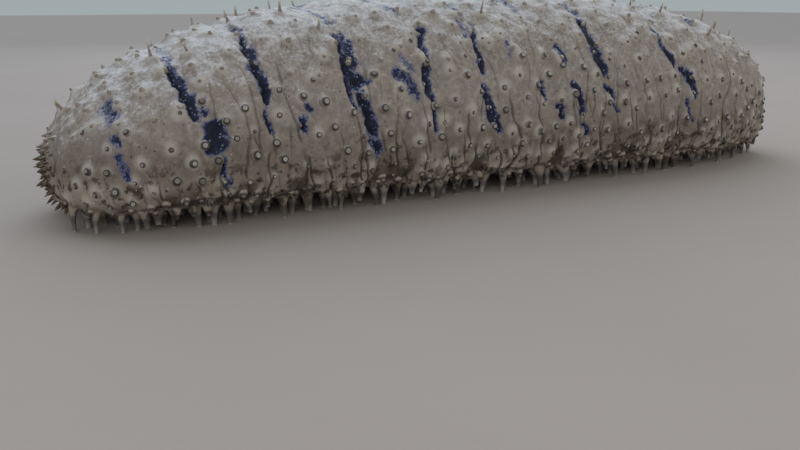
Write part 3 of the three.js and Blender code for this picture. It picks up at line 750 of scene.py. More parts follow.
def grow(name, roots, paths, radii, profile, sides, material, tones=None):
    """One joined mesh of many bent, round pieces.

    roots holds the distance and turn of each root, paths the start, bend and end of each piece,
    profile pairs of (share of the path, share of the radius) from the buried root to the tip, and
    tones a value from 0 to 1 that sets the colour of each piece.
    """
    body = bpy.context.scene.sandfish_body
    start, bend, end = [np.asarray(p)[:, None, :] for p in paths]
    count = start.shape[0]
    share = np.array([p[0] for p in profile])[None, :, None]
    width = np.array([p[1] for p in profile])[None, :, None, None]
    centre = (1 - share) ** 2 * start + 2 * share * (1 - share) * bend + share ** 2 * end
    aim = 2 * (1 - share) * (bend - start) + 2 * share * (end - bend)
    aim = unit(aim)
    helper = np.where(np.abs(aim[..., :1]) > 0.8, np.array((0.0, 1.0, 0.0)), np.array((1.0, 0.0, 0.0)))
    first = unit(np.cross(aim, helper))
    second = np.cross(aim, first)
    angle = np.linspace(0, 2 * math.pi, sides, endpoint=False)[None, None, :, None]
    around = first[:, :, None, :] * np.cos(angle) + second[:, :, None, :] * np.sin(angle)
    rings = centre[:, :, None, :] + around * width * np.asarray(radii)[:, None, None, None]
    rings[..., 2] = np.maximum(rings[..., 2], 0)  # a foot flattens on the floor
    levels = len(profile)
    size = levels * sides + 2
    points = np.concatenate([rings.reshape(count, -1, 3), centre[:, :1], centre[:, -1:]], axis=1)

    level, side = np.meshgrid(np.arange(levels - 1), np.arange(sides), indexing="ij")
    next_side = (side + 1) % sides
    wall = np.stack([level * sides + side, level * sides + next_side,
                     (level + 1) * sides + next_side, (level + 1) * sides + side], -1).reshape(-1, 4)
    ring = np.arange(sides)
    after = (ring + 1) % sides
    root_fan = np.stack([np.full(sides, size - 2), after, ring], -1)
    top = (levels - 1) * sides
    tip_fan = np.stack([np.full(sides, size - 1), top + ring, top + after], -1)
    offsets = (np.arange(count) * size)[:, None, None]
    quads = (wall + offsets).reshape(-1, 4)
    fans = np.concatenate([(root_fan + offsets), (tip_fan + offsets)], axis=1).reshape(-1, 3)

    reach = np.linspace(0, 1, levels)
    spread = PATCH * (1 - 0.9 * reach)[:, None, None]
    flat = angle[0, 0]
    patch = (spread * np.concatenate([np.cos(flat), np.sin(flat)], -1)[None]).reshape(-1, 2)
    patch = np.concatenate([patch, [[PATCH * 1.05, 0], [0, 0]]])
    distances, turns = roots
    table = girth_table()
    home = np.stack([distances / body.length, 0.5 + np.interp(turns, *table) / np.ptp(table[1])], -1)
    home = np.clip(home, 2 * PATCH, 1 - 2 * PATCH)
    places = (home[:, None, :] + patch[None]).reshape(-1, 2)
    corners = np.concatenate([quads.ravel(), fans.ravel()])
    levels_of = np.concatenate([np.repeat(reach, sides), [0, 1]])
    tones = np.full(count, 0.5) if tones is None else tones
    values = {"reach": np.tile(levels_of, count), "tone": np.repeat(tones, size)}
    faces = quads.tolist() + fans.tolist()
    return new_object(name, points.reshape(-1, 3), faces, material, places[corners], values)


# Materials

COLOUR_MIX = {"data_type": "RGBA"}
SMOOTH = {"interpolation_type": "SMOOTHSTEP"}
ADD = {"operation": "ADD"}
MULTIPLY = {"operation": "MULTIPLY"}
MULTIPLY_ADD = {"operation": "MULTIPLY_ADD"}

NOISE = "ShaderNodeTexNoise"
GRAINS = "ShaderNodeTexVoronoi"

# Patterns in the body wall: their kind, the size of their lumps, their detail and its roughness
WALL_PATTERNS = {
    "cloud": (NOISE, 11 * MM, 3, 0.5),
    "dust_and_top_light": (NOISE, 0.9 * MM, 5, 0.75),
    "shade": (NOISE, 3.4 * MM, 5, 0.7),
    "mottle": (NOISE, 1.3 * MM, 4, 0.65),
    "tint": (NOISE, 6 * MM, 2, 0.5),
    "blotch": (NOISE, 2.9 * MM, 4, 0.66),
    "sediment": (NOISE, 0.6 * MM, 3, 0.7),
    "drift": (NOISE, 1.8 * MM, 2, 0.5),
}
# Specks on the wall: their spacing and radius in mm, how seldom they lie, and their colour
SPECKS = [
    (1.4, 0.19, 0.47, "3a322a"),
    (2.6, 0.12, 0.44, "2c2620"),
    (1.7, 0.11, 0.5, "dcdde0"),
]
# Patterns that break up the dark marks, and that make the damp skin uneven
SKIN_PATTERNS = {
    "ragged": (NOISE, 0.7 * MM, 4, 0.7),
    "patchy": (NOISE, 2.8 * MM, 2, 0.5),
    "flecks": (GRAINS, 0.95 * MM, 0, 0.5),
    "strewn": (NOISE, 1.7 * MM, 2, 0.5),
    "uneven": (NOISE, 1.5 * MM, 4, 0.65),
    "gloss": (NOISE, 2 * MM, 2, 0.5),
}
FINE_GRAIN = (NOISE, 0.7 * MM, 3, 0.6)
FINE_GRAIN_HEIGHT = 0.25 * MM


def add_node(tree, kind, settings=None, inputs=None):
    """Adds a node with its settings and links; an input is a value, or the socket that feeds it."""
    node = tree.nodes.new(kind)
    for name, value in (settings or {}).items():
        setattr(node, name, value)
    for name, value in (inputs or {}).items():
        socket = node.inputs[name]
        if isinstance(value, bpy.types.NodeSocket):
            tree.links.new(value, socket)
        elif socket.type == "RGBA":
            socket.default_value = (*value, 1)
        else:
            socket.default_value = value
    return node


def new_material(name, *fields):
    """An empty node material, its tree, the place on the body, and the mesh's own values by name."""
    material = bpy.data.materials.new(name)
    material.use_nodes = True
    tree = material.node_tree
    tree.nodes.clear()
    place = add_node(tree, "ShaderNodeTexCoord").outputs["Object"]
    nodes = [add_node(tree, "ShaderNodeAttribute", {"attribute_name": field}) for field in fields]
    return material, tree, place, *[node.outputs["Fac"] for node in nodes]


def add_patterns(tree, place, rows):
    """The sockets of several patterns by name, from rows of kind, size, detail and roughness."""
    sockets = {}
    for name, (kind, size, detail, rough) in rows.items():
        inputs = {"Vector": place, "Scale": 1 / size, "Detail": detail, "Roughness": rough}
        sockets[name] = add_node(tree, kind, None, inputs).outputs[0]
    return sockets


def add_layer(tree, colour, tint, *masks):
    """Lays a tint over a colour, as strongly as the product of its masks.

    A mask is a value, the two limits that it runs between, and the strength at each of them.
    """
    strength = 1.0
    for value, low, high, start, end in masks:
        inputs = {"Value": value, "From Min": low, "From Max": high, "To Min": start, "To Max": end}
        mask = add_node(tree, "ShaderNodeMapRange", SMOOTH, inputs).outputs[0]
        strength = add_node(tree, "ShaderNodeMath", MULTIPLY, {0: strength, 1: mask}).outputs[0]
    return add_node(tree, "ShaderNodeMix", COLOUR_MIX, {0: strength, 6: colour, 7: tint}).outputs[2]


def add_tissue(tree, place, colour, bump, settings, uneven=None):
    """Closes a material with a damp, finely grained and slightly translucent surface."""
    height = add_patterns(tree, place, {"grain": FINE_GRAIN})["grain"]
    if uneven is not None:
        height = add_node(tree, "ShaderNodeMath", ADD, {0: height, 1: uneven}).outputs[0]
    inputs = {"Strength": bump, "Distance": FINE_GRAIN_HEIGHT, "Height": height}
    normal = add_node(tree, "ShaderNodeBump", None, inputs).outputs[0]
    inputs = {"Base Color": colour, "Normal": normal, **settings}
    shader = add_node(tree, "ShaderNodeBsdfPrincipled", None, inputs)
    add_node(tree, "ShaderNodeOutputMaterial", None, {"Surface": shader.outputs[0]})


def height_and_facing(tree, place):
    """The height above the floor, and how far the surface faces up, from -1 to 1."""
    facing = add_node(tree, "ShaderNodeNewGeometry").outputs["Normal"]
    nodes = [add_node(tree, "ShaderNodeSeparateXYZ", None, {0: vector}) for vector in (place, facing)]
    return [node.outputs["Z"] for node in nodes]


def wall_colour(tree, place):
    """The colour of the body wall before creases, warts and marks: pale above, partly as painted top light,
    and browner below.
    """
    colours = bpy.context.scene.sandfish_colours
    height, up = height_and_facing(tree, place)
    patterns = add_patterns(tree, place, WALL_PATTERNS)
    # Dust and painted top light: what faces up turns pale, in patches of fine grain, not as an even film
    dust_and_top_light = add_node(tree, "ShaderNodeMath", MULTIPLY_ADD, {0: patterns["cloud"], 1: 0.3, 2: up}).outputs[0]
    dust_and_top_light = add_node(tree, "ShaderNodeMath", MULTIPLY_ADD, {0: patterns["dust_and_top_light"], 1: 1.3, 2: dust_and_top_light}).outputs[0]
    colour = add_layer(tree, colours.wall, colours.back, (dust_and_top_light, 1.28, 1.95, 0, 1))
    # Mottling of the wall from half a millimetre to a few millimetres across
    colour = add_layer(tree, colour, linear("564d44"), (patterns["shade"], 0.42, 0.68, 0, 0.42))
    colour = add_layer(tree, colour, linear("aeaaa7"), (patterns["mottle"], 0.42, 0.7, 0, 0.38))
    colour = add_layer(tree, colour, linear("83786a"), (patterns["tint"], 0.5, 0.7, 0, 0.25))
    # The wall turns brown down the flank; its lower edge is paler again, painted light that stands in for
    # light thrown up from the floor; the sole is beige
    inputs = {0: patterns["cloud"], 1: 8 * MM, 2: height}
    wavy_height = add_node(tree, "ShaderNodeMath", MULTIPLY_ADD, inputs).outputs[0]
    colour = add_layer(tree, colour, linear("5d5145"), (wavy_height, 31 * MM, 18 * MM, 0, 0.56))
    colour = add_layer(tree, colour, linear("9c9389"), (height, 15 * MM, 7 * MM, 0, 0.66))
    colour = add_layer(tree, colour, colours.belly, (up, -0.75, -0.95, 0, 1))
    # Brown-black blotches along the lower part of the flanks, partly stains and partly painted shade between
    # the feet
    edge = (height, 21 * MM, 10 * MM, 0, 1)
    colour = add_layer(tree, colour, linear("2a211a"), (patterns["blotch"], 0.5, 0.58, 0, 0.9), edge)
    # Sediment that lies in grains on whatever faces up
    laid = (patterns["sediment"], 0.54, 0.64, 0, 1)
    drifted = (patterns["drift"], 0.4, 0.6, 0, 0.6)
    colour = add_layer(tree, colour, linear("cdccca"), laid, drifted, (up, 0.1, 0.8, 0, 1))
    # Specks of dark sediment, and small bright specks
    for spacing, size, seldom, tone in SPECKS:
        rows = {"speck": (GRAINS, spacing * MM, 0, 0.5), "rare": (NOISE, 3 * MM * spacing, 2, 0.5)}
        found = add_patterns(tree, place, rows)
        masks = (found["speck"], size, size * 0.5, 0, 1), (found["rare"], seldom, seldom + 0.1, 0, 0.8)
        colour = add_layer(tree, colour, linear(tone), *masks)
    return colour


def body_wall_material():
    """Sandfish body wall: thick leathery skin, dusted with sediment, damp but not glossy."""
    # Gives the eye matte taupe flanks, a pale back of dust and painted top light, creases darkened with
    # painted shade and ragged blue-black marks
    colours = bpy.context.scene.sandfish_colours
    material, tree, place, mark, core, wart, crease, hollow = new_material(
        "leathery_body_wall", "mark", "core", "wart", "crease", "hollow")
    height, up = height_and_facing(tree, place)
    patterns = add_patterns(tree, place, SKIN_PATTERNS)
    colour = wall_colour(tree, place)
    warted = (wart, 0.15, 0.8, 0, 0.62)
    colour = add_layer(tree, colour, linear("aeaaa5"), warted, (height, 3 * MM, 15 * MM, 0.8, 1))
    # Painted shade: the crease brown darkens the creases, the valleys between the folds and the fold round
    # the mouth
    colour = add_layer(tree, colour, colours.crease, (crease, 0.16, 0.85, 0, 0.8))

    # The pigment's edge is broken up by noise, and it darkens from its fringe inwards
    broken = mark
    for name, share in (("ragged", 1.6), ("patchy", 0.9)):
        inputs = {0: patterns[name], 1: share, 2: broken}
        broken = add_node(tree, "ShaderNodeMath", MULTIPLY_ADD, inputs).outputs[0]
    present = (mark, 0.01, 0.4, 0, 1)
    colour = add_layer(tree, colour, colours.fringe, (broken, 1.3, 1.8, 0, 0.7), present)
    colour = add_layer(tree, colour, colours.mark, (broken, 1.61, 1.95, 0, 0.97), present)
    colour = add_layer(tree, colour, linear("05081a"), (broken, 1.91, 2.3, 0, 0.88), present)
    # Painted shadow: the groove along a dark mark, under the fold's overhang, turns near black
    inputs = {0: patterns["ragged"], 1: 0.8, 2: core}
    groove = add_node(tree, "ShaderNodeMath", MULTIPLY_ADD, inputs).outputs[0]
    colour = add_layer(tree, colour, linear("06070c"), (groove, 0.7, 1.3, 0, 1))
    # Pale grains lie on the pigment
    flecked = (patterns["flecks"], 0.27, 0.13, 0, 0.65)
    strewn = (patterns["strewn"], 0.41, 0.52, 0, 1)
    colour = add_layer(tree, colour, linear("8f9cc0"), flecked, strewn, present)
    colour = add_layer(tree, colour, colours.mouth, (hollow, 0.3, 1, 0, 0.85))

    # The sediment makes the back more uneven than the flanks
    inputs = {"Value": up, "From Min": 0.1, "From Max": 0.8, "To Min": 0.4, "To Max": 3}
    dusted = add_node(tree, "ShaderNodeMapRange", SMOOTH, inputs).outputs[0]
    uneven = add_node(tree, "ShaderNodeMath", MULTIPLY, {0: patterns["uneven"], 1: dusted}).outputs[0]
    inputs = {"Value": patterns["gloss"], "From Min": 0.3, "From Max": 0.7, "To Min": 0.62, "To Max": 0.82}
    rough = add_node(tree, "ShaderNodeMapRange", SMOOTH, inputs).outputs[0]
    add_tissue(tree, place, colour, 0.8, {
        "Roughness": rough, "IOR": 1.38, "Subsurface Weight": 0.12,
        "Subsurface Radius": (1, 0.6, 0.4), "Subsurface Scale": 1.2 * MM}, uneven)
    return material


def flank_foot_material():
    """Foot tissue: soft, wet, with a pale disc inside a dark ring."""
    # Gives the eye a pale stud with a dark outline on each wart
    colours = bpy.context.scene.sandfish_colours
    material, tree, place, reach, tone = new_material("flank_foot_tissue", "reach", "tone")
    inputs = {0: tone, 6: linear("605b56"), 7: colours.tip}
    disc = add_node(tree, "ShaderNodeMix", COLOUR_MIX, inputs).outputs[2]
    colour = add_layer(tree, wall_colour(tree, place), colours.ring, (reach, 0.24, 0.38, 0, 0.9))
    colour = add_layer(tree, colour, disc, (reach, 0.56, 0.7, 0, 1))
    # The pore in the middle of the disc
    colour = add_layer(tree, colour, colours.ring, (reach, 0.95, 1, 0, 0.5))
    add_tissue(tree, place, colour, 0.3, {
        "Roughness": 0.45, "IOR": 1.38, "Subsurface Weight": 0.2,
        "Subsurface Radius": (1, 0.7, 0.5), "Subsurface Scale": 0.8 * MM})
    return material


def papilla_material():
    """Papilla tissue: thin, soft flesh with the body wall's colour at its root."""
    # Gives the eye pale straw threads, and greyer knobs, that stand up from the back
    colours = bpy.context.scene.sandfish_colours
    material, tree, place, reach, tone = new_material("back_papilla_tissue", "reach", "tone")
    # The pale straw is partly painted light, standing in for light that shines through the thin flesh
    inputs = {0: tone, 6: linear("6e675a"), 7: colours.papilla}
    flesh = add_node(tree, "ShaderNodeMix", COLOUR_MIX, inputs).outputs[2]
    colour = add_layer(tree, wall_colour(tree, place), flesh, (reach, 0.4, 0.75, 0, 0.85))
    add_tissue(tree, place, colour, 0.3, {
        "Roughness": 0.5, "IOR": 1.38, "Subsurface Weight": 0.25,
        "Subsurface Radius": (1, 0.8, 0.5), "Subsurface Scale": 0.8 * MM})
    return material


def walking_foot_material():
    """Walking-foot tissue: jelly-like, half clear flesh with a pale sucker."""
    # Gives the eye grey, glassy stalks that end in whitish discs
    colours = bpy.context.scene.sandfish_colours
    material, tree, place, reach, tone = new_material("walking_foot_tissue", "reach", "tone")
    inputs = {0: tone, 6: linear("4d463f"), 7: linear("8c8a8d")}
    flesh = add_node(tree, "ShaderNodeMix", COLOUR_MIX, inputs).outputs[2]
    colour = add_layer(tree, wall_colour(tree, place), flesh, (reach, 0.15, 0.5, 0, 1))
    # A darker band round the middle of the stalk
    band = (reach, 0.3, 0.4, 0, 1), (reach, 0.6, 0.46, 0, 0.6)
    colour = add_layer(tree, colour, linear("3c3a3c"), *band)
    colour = add_layer(tree, colour, colours.tip, (reach, 0.74, 0.88, 0, 1))
    add_tissue(tree, place, colour, 0.2, {
        "Roughness": 0.3, "IOR": 1.36, "Subsurface Weight": 0.5,
        "Subsurface Radius": (1, 0.8, 0.7), "Subsurface Scale": 1.5 * MM})
    return material


def mouth_material():
    """Mouth tissue: soft, wet brown flesh, paler at the tips."""
    # Gives the eye a brown, glistening fringe low on the front
    colours = bpy.context.scene.sandfish_colours
    material, tree, place, reach = new_material("mouth_tissue", "reach")
    height = height_and_facing(tree, place)[0]
    blotch = add_patterns(tree, place, {"blotch": (NOISE, 1.2 * MM, 3, 0.5)})["blotch"]
    colour = add_layer(tree, colours.mouth, linear("3a2d22"), (blotch, 0.35, 0.7, 0, 1))
    colour = add_layer(tree, colour, linear("8a775c"), (reach, 0.55, 1, 0, 0.7))
    # The upper papillae take the body wall's colour
    colour = add_layer(tree, colour, wall_colour(tree, place), (height, 13 * MM, 20 * MM, 0, 0.85))
    add_tissue(tree, place, colour, 0.4, {
        "Roughness": 0.35, "IOR": 1.38, "Subsurface Weight": 0.2,
        "Subsurface Radius": (1, 0.6, 0.4), "Subsurface Scale": 0.8 * MM})
    return material


def floor_material():
    """Painted board: matte and pale, under and behind the model."""
    # Gives the eye a quiet ground that takes soft shadows
    material, tree, place = new_material("matte_pale_board")
    cloud = add_patterns(tree, place, {"cloud": (NOISE, 60 * MM, 3, 0.5)})["cloud"]
    inputs = {0: cloud, 6: linear("968e8b"), 7: linear("9d9592")}
    colour = add_node(tree, "ShaderNodeMix", COLOUR_MIX, inputs).outputs[2]
    shader = add_node(tree, "ShaderNodeBsdfPrincipled", None, {"Base Color": colour, "Roughness": 0.9})
    add_node(tree, "ShaderNodeOutputMaterial", None, {"Surface": shader.outputs[0]})
    return material


# Operators

GRIDS = []  # the finished skin, once it is built


def skin_grid():
    """The finished skin's grid, built on first use."""
    if not GRIDS:
        GRIDS.append(SkinGrid())
    return GRIDS[0]


class SANDFISH_OT_stage(bpy.types.Operator):
    """Adds the floor, the soft lights and the camera"""

    bl_idname = "sandfish.stage"
    bl_label = "Stage"

    def execute(self, context):
        scene = context.scene
        mesh = bpy.data.meshes.new("studio_floor")
        corners = [(x * FLOOR_REACH, y * FLOOR_REACH, 0) for x, y in ((-1, -1), (1, -1), (1, 1), (-1, 1))]
        mesh.from_pydata(corners, [], [(0, 1, 2, 3)])
        mesh.materials.append(floor_material())
        floor = bpy.data.objects.new("studio_floor", mesh)
        scene.collection.objects.link(floor)

        # A broad, soft light from above
        sky = bpy.data.lights.new("overhead_sky", "SUN")
        sky.angle = math.radians(75)
        sky.energy = 1.6
        sky.color = linear("f6f9ff")
        sky_holder = bpy.data.objects.new("overhead_sky", sky)
        sky_holder.rotation_euler = Vector((0.05, 0.6, 0.85)).to_track_quat("Z", "Y").to_euler()
        scene.collection.objects.link(sky_holder)

        for name, place, target, size, power, tint in LAMPS:
            lamp = bpy.data.lights.new(name, "AREA")
            lamp.size = size
            lamp.energy = power
            lamp.color = linear(tint)
            holder = bpy.data.objects.new(name, lamp)
            holder.location = place
            holder.rotation_euler = (Vector(target) - Vector(place)).to_track_quat("-Z", "Y").to_euler()
            scene.collection.objects.link(holder)

        world = bpy.data.worlds.new("studio_world")
        world.use_nodes = True
        background = world.node_tree.nodes["Background"]
        background.inputs[0].default_value = (*linear("aab4b6"), 1)
        background.inputs[1].default_value = 0.88
        scene.world = world
        scene.view_settings.view_transform = "Standard"

        lens = bpy.data.cameras.new("photo_view")
        lens.sensor_width = SENSOR_WIDTH
        lens.lens = SENSOR_WIDTH * FOCAL_PIXELS / IMAGE_WIDTH
        lens.clip_start = 0.01
        camera = bpy.data.objects.new("photo_view", lens)
        camera.location = CAMERA_PLACE
        camera.rotation_euler = (math.pi / 2 - CAMERA_DOWN, 0, -CAMERA_TURN)
        scene.collection.objects.link(camera)
        scene.camera = camera
        return {"FINISHED"}


class SANDFISH_OT_skin(bpy.types.Operator):
    """Builds the body wall as one skin without seams"""

    bl_idname = "sandfish.skin"
    bl_label = "Skin"

    def execute(self, context):
        points, faces, uvs, values = build_skin_mesh(skin_grid())
        skin = new_object("body_wall_skin", points, faces, body_wall_material(), uvs, values)
        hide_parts("oral_end", "front_body", "middle_body", "rear_body", "anal_end",
                    "front_sole", "middle_sole", "rear_sole")
        return {"FINISHED"}


class SANDFISH_OT_flank_feet(bpy.types.Operator):
    """Builds the blunt feet of both flanks"""

    bl_idname = "sandfish.flank_feet"
    bl_label = "Flank feet"

    def execute(self, context):
        coat = context.scene.sandfish_coat
        distances, turns = flank_places()
        roots, facing = skin_grid().root(distances, turns)
        draw = np.random.RandomState(SEEDS["flank"] + 1)
        degrees = np.degrees(np.abs(turns))
        # Feet are largest half way down the flank, and hang down along its lower edge
        low = ramp(degrees, *CROWDED_TURNS)
        high = ramp(degrees, 80, 54)
        grown = (1.0 - 0.2 * low - 0.42 * high) * draw.uniform(0.5, 1.2, len(turns))
        droop = ramp(degrees, 112, 138)
        tilt = draw.uniform(-0.25, 0.25, (len(turns), 3))
        tilt[:, 2] += 0.15 - 0.5 * droop
        aim = unit(facing + tilt)
        height = (coat.flank_foot * grown * (1 + 1.7 * droop))[:, None]
        start, end = roots - facing * FOOT_ROOT, roots + aim * height
        bend = roots + facing * height * 0.4
        radii = FOOT_RADIUS * grown
        grow("flank_feet", (distances, turns), (start, bend, end), radii, FLANK_FOOT_PROFILE, 11,
             flank_foot_material(), draw.uniform(0, 1, len(turns)))
        return {"FINISHED"}


class SANDFISH_OT_back_papillae(bpy.types.Operator):
    """Builds the long threads and short knobs of the back"""

    bl_idname = "sandfish.back_papillae"
    bl_label = "Back papillae"

    def execute(self, context):
        coat = context.scene.sandfish_coat
        distances, turns = back_places()
        roots, facing = skin_grid().root(distances, turns)
        draw = np.random.RandomState(SEEDS["back"] + 1)
        count = len(turns)
        # Near the crest a fifth of them are long threads, and lower down few are
        long = draw.uniform(0, 1, count) < np.where(np.abs(turns) < math.radians(44), 0.2, 0.03)
        thread_shares, knob_shares = draw.uniform(0.45, 0.95, count), draw.uniform(0.06, 0.15, count)
        length = coat.papilla * np.where(long, thread_shares, knob_shares)
        upright = np.array((0, 0, 1.0)) * np.where(long, 1.0, 0.2)[:, None]
        aim = unit(facing + upright + draw.uniform(-0.35, 0.35, (count, 3)))
        start = roots - facing * PAPILLA_ROOT
        bend = roots + facing * length[:, None] * 0.45
        end = roots + aim * length[:, None]
        radii = PAPILLA_RADIUS * draw.uniform(0.7, 1.2, count)
        tones = np.where(long, draw.uniform(0.75, 1, count), draw.uniform(0, 0.6, count))
        material = papilla_material()
        kinds = (("back_papillae", long, THREAD_PROFILE), ("back_knobs", ~long, KNOB_PROFILE))
        for name, chosen, profile in kinds:
            paths = (start[chosen], bend[chosen], end[chosen])
            grow(name, (distances[chosen], turns[chosen]), paths, radii[chosen], profile, 12,
                 material, tones[chosen])
        return {"FINISHED"}


class SANDFISH_OT_walking_feet(bpy.types.Operator):
    """Builds the walking feet of the sole and its edges"""

    bl_idname = "sandfish.walking_feet"
    bl_label = "Walking feet"

    def execute(self, context):
        distances, turns = walking_places()
        roots, facing = skin_grid().root(distances, turns)
        draw = np.random.RandomState(SEEDS["walking"] + 1)
        count = len(turns)
        # Feet lean at random along the body, and outwards where they root high
        outward = np.sign(roots[:, 1]) * np.clip(roots[:, 2] / (9 * MM), 0, 1)
        along = draw.uniform(-0.9, 0.9, count)
        across = outward * 0.8 + draw.uniform(-0.5, 0.5, count)
        lean = np.stack([along, across, np.zeros(count)], -1) * MM
        # Some feet are lifted off the floor, most of them along the edges of the sole
        lifted = draw.uniform(0, 1, count) < np.where(roots[:, 2] > 4.5 * MM, 0.62, 0.15)
        foot = np.where(lifted, draw.uniform(0.2, 0.62, count) * roots[:, 2], 0.0)
        end = roots + lean
        end[:, 2] = foot
        start = roots - facing * WALKING_ROOT
        bend = roots + facing * (0.2 * roots[:, 2])[:, None] + lean * 0.6
        bend[:, 2] = np.maximum(bend[:, 2], foot + 0.35 * (roots[:, 2] - foot))
        radii = FOOT_RADIUS * draw.uniform(0.65, 1.15, count)
        grow("walking_feet", (distances, turns), (start, bend, end), radii, WALKING_FOOT_PROFILE, 12,
             walking_foot_material(), draw.uniform(0, 1, count) ** 1.6)
        return {"FINISHED"}


class SANDFISH_OT_mouth_papillae(bpy.types.Operator):
    """Builds the pointed papillae that ring the mouth"""

    bl_idname = "sandfish.mouth_papillae"
    bl_label = "Mouth papillae"

    def execute(self, context):
        grid = skin_grid()
        centre, axis, side, up = mouth_frame()
        draw = np.random.RandomState(SEEDS["mouth"])
        close = grid.distances < TIP_SEARCH
        front = grid.points[close].reshape(-1, 3)
        places = np.stack(np.meshgrid(grid.distances[close], grid.turns, indexing="ij"), -1).reshape(-1, 2)
        away = front - centre
        flat = away - (away @ axis)[:, None] * axis
        picked, rays = [], []
        for count, radius in MOUTH_RINGS:
            for index in range(count):
                angle = 2 * math.pi * (index + draw.uniform(-0.42, 0.42)) / count
                ray = side * math.cos(angle) + up * math.sin(angle)
                spot = ray * radius * draw.uniform(0.93, 1.07)
                nearest = int(np.argmin(np.linalg.norm(flat - spot, axis=1)))
                if np.linalg.norm(flat[nearest] - spot) < MM:
                    picked.append(nearest)
                    rays.append(ray)
        roots, rays, places = front[picked], np.array(rays), places[picked]
        count = len(picked)
        aim = unit(axis + rays * draw.uniform(0.2, 0.75, count)[:, None])
        upper = np.clip(rays @ up, 0, 1)
        length = (MOUTH_PAPILLA * (1 - 0.45 * upper) * draw.uniform(0.35, 1.2, count))[:, None]
        start = roots - aim * 1.2 * MM
        bend = roots + axis * length * 0.5
        end = roots + aim * length
        end[:, 2] = np.maximum(end[:, 2], 0.4 * MM)
        radii = TIP_PAPILLA_RADIUS * draw.uniform(0.6, 1.15, count)
        grow("mouth_papillae", places.T, (start, bend, end), radii, MOUTH_PAPILLA_PROFILE, 10,
             mouth_material())
        return {"FINISHED"}


class SANDFISH_OT_tentacles(bpy.types.Operator):
    """Builds the mouth disc and its shield-tipped tentacles"""

    bl_idname = "sandfish.tentacles"
    bl_label = "Tentacles"

    def execute(self, context):
        coat = context.scene.sandfish_coat
        centre, axis, side, up = mouth_frame()
        draw = np.random.RandomState(SEEDS["tentacles"])
        material = mouth_material()
        lip = centre - axis * MOUTH_FLOOR
        disc_radius = math.sqrt(MOUTH["radius"] ** 2 - MOUTH_FLOOR ** 2)
        disc_path = ([lip - axis * 2.6 * MM], [lip - axis * 0.5 * MM], [lip + axis * 0.6 * MM])
        here = (np.array([1 * MM]), np.array([0.0]))
        disc = grow("mouth_disc", here, disc_path, [disc_radius], DISC_PROFILE, 60, material)

        stems, leaves, turns = [], [], []
        for index in range(coat.tentacles):
            angle = 2 * math.pi * (index + draw.uniform(-0.12, 0.12)) / coat.tentacles
            inner = index % 2
            ray = side * math.cos(angle) + up * math.sin(angle)
            foot = lip + ray * (4.4 - 1.4 * inner) * MM
            tip = lip + ray * (4.7 - 1.8 * inner) * MM + axis * draw.uniform(3.2, 4.2) * MM
            stems.append((foot - axis * 1.0 * MM, (foot + tip) / 2 + ray * 0.3 * MM, tip))
            turns.append(angle)
            # Each shield is a ring of short fingers round the tip of the stem
            for finger in range(FINGERS):
                spin = 2 * math.pi * (finger + draw.uniform(-0.2, 0.2)) / FINGERS
                out = np.cross(axis, ray) * math.cos(spin) + ray * math.sin(spin)
                out = out * draw.uniform(0.85, 1.15) * MM
                leaves.append((tip - axis * 0.5 * MM, tip + out * 0.7, tip + out + axis * 0.35 * MM))
        stems = np.transpose(np.array(stems), (1, 0, 2))
        leaves = np.transpose(np.array(leaves), (1, 0, 2))
        turns = np.array(turns)
        # Their bake patches lie in rows of their own at the mouth end of the unwrap
        steady = np.full(len(turns), 2.2 * MM)
        grow("tentacle_stems", (steady, turns), stems, np.full(len(turns), STEM_RADIUS), STEM_PROFILE, 12,
             material)
        count = leaves.shape[1]
        row = (np.full(count, 3.4 * MM), np.linspace(-3, 3, count))
        grow("tentacle_fingers", row, leaves, np.full(count, FINGER_RADIUS), FINGER_PROFILE, 8,
             material)
        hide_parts("tentacle_crown")
        return {"FINISHED"}


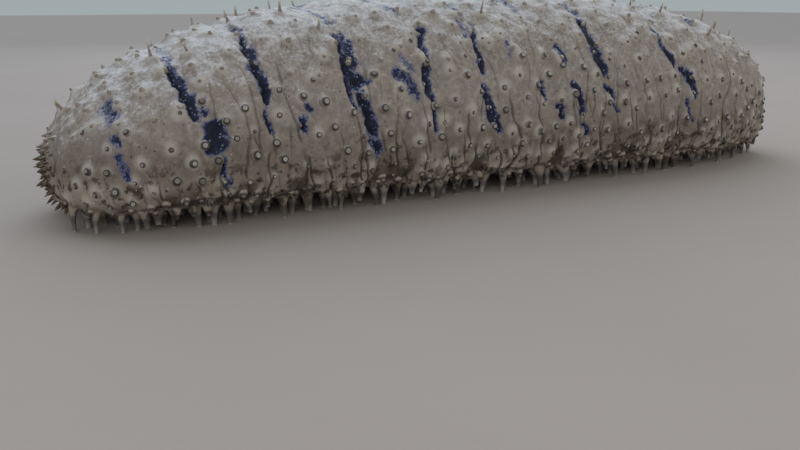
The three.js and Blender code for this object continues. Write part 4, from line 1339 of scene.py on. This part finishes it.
class SANDFISH_OT_vent_papillae(bpy.types.Operator):
    """Builds the five groups of papillae round the vent"""

    bl_idname = "sandfish.vent_papillae"
    bl_label = "Vent papillae"

    def execute(self, context):
        grid = skin_grid()
        body = context.scene.sandfish_body
        draw = np.random.RandomState(SEEDS["vent"])
        close = grid.distances > body.length - TIP_SEARCH
        rear = grid.points[close].reshape(-1, 3)
        places = np.stack(np.meshgrid(grid.distances[close], grid.turns, indexing="ij"), -1).reshape(-1, 2)
        backward = np.array((1.0, 0, 0))
        picked, rays = [], []
        for group in range(5):
            for member, away in VENT_GROUP:
                angle = 2 * math.pi * (group + 0.2 * member) / 5 + math.pi / 2
                ray = np.array((0, math.cos(angle), math.sin(angle)))
                spot = np.array((0, 0, VENT["height"])) + ray * VENT["radius"] * away
                picked.append(int(np.argmin(np.hypot(rear[:, 1] - spot[1], rear[:, 2] - spot[2]))))
                rays.append(ray)
        roots, rays = rear[picked], np.array(rays)
        count = len(picked)
        aim = unit(backward + rays * draw.uniform(0.3, 0.8, count)[:, None])
        length = (VENT_PAPILLA * draw.uniform(0.6, 1.1, count))[:, None]
        paths = (roots - aim * MM, roots + backward * length * 0.5, roots + aim * length)
        radii = TIP_PAPILLA_RADIUS * draw.uniform(0.8, 1.15, count)
        grow("vent_papillae", places[picked].T, paths, radii, VENT_PAPILLA_PROFILE, 10,
             papilla_material())
        return {"FINISHED"}


class SANDFISH_PT_panel(bpy.types.Panel):
    """The sizes, colours and pieces of the sandfish"""

    bl_label = "Sandfish"
    bl_idname = "SANDFISH_PT_panel"
    bl_space_type = "VIEW_3D"
    bl_region_type = "UI"
    bl_category = "Sandfish"

    def draw(self, context):
        layout = self.layout
        for group_name in GROUPS:
            group = getattr(context.scene, group_name)
            box = layout.box()
            for name in group.__annotations__:
                box.prop(group, name)
        for operator in OPERATORS:
            layout.operator(operator.bl_idname)


GROUPS = {"sandfish_body": BodySizes, "sandfish_coat": CoatSizes, "sandfish_colours": SkinColours}
OPERATORS = [
    SANDFISH_OT_stage, SANDFISH_OT_skin, SANDFISH_OT_flank_feet, SANDFISH_OT_back_papillae,
    SANDFISH_OT_walking_feet, SANDFISH_OT_mouth_papillae, SANDFISH_OT_tentacles, SANDFISH_OT_vent_papillae,
]


def register():
    for item in [*GROUPS.values(), *OPERATORS, SANDFISH_PT_panel]:
        bpy.utils.register_class(item)
    for name, group in GROUPS.items():
        setattr(bpy.types.Scene, name, PointerProperty(type=group))


def unregister():
    for name in GROUPS:
        delattr(bpy.types.Scene, name)
    for item in reversed([*GROUPS.values(), *OPERATORS, SANDFISH_PT_panel]):
        bpy.utils.unregister_class(item)


def main():
    register()
    for operator in OPERATORS:
        group, name = operator.bl_idname.split(".")
        getattr(getattr(bpy.ops, group), name)()


if __name__ == "__main__":
    main()
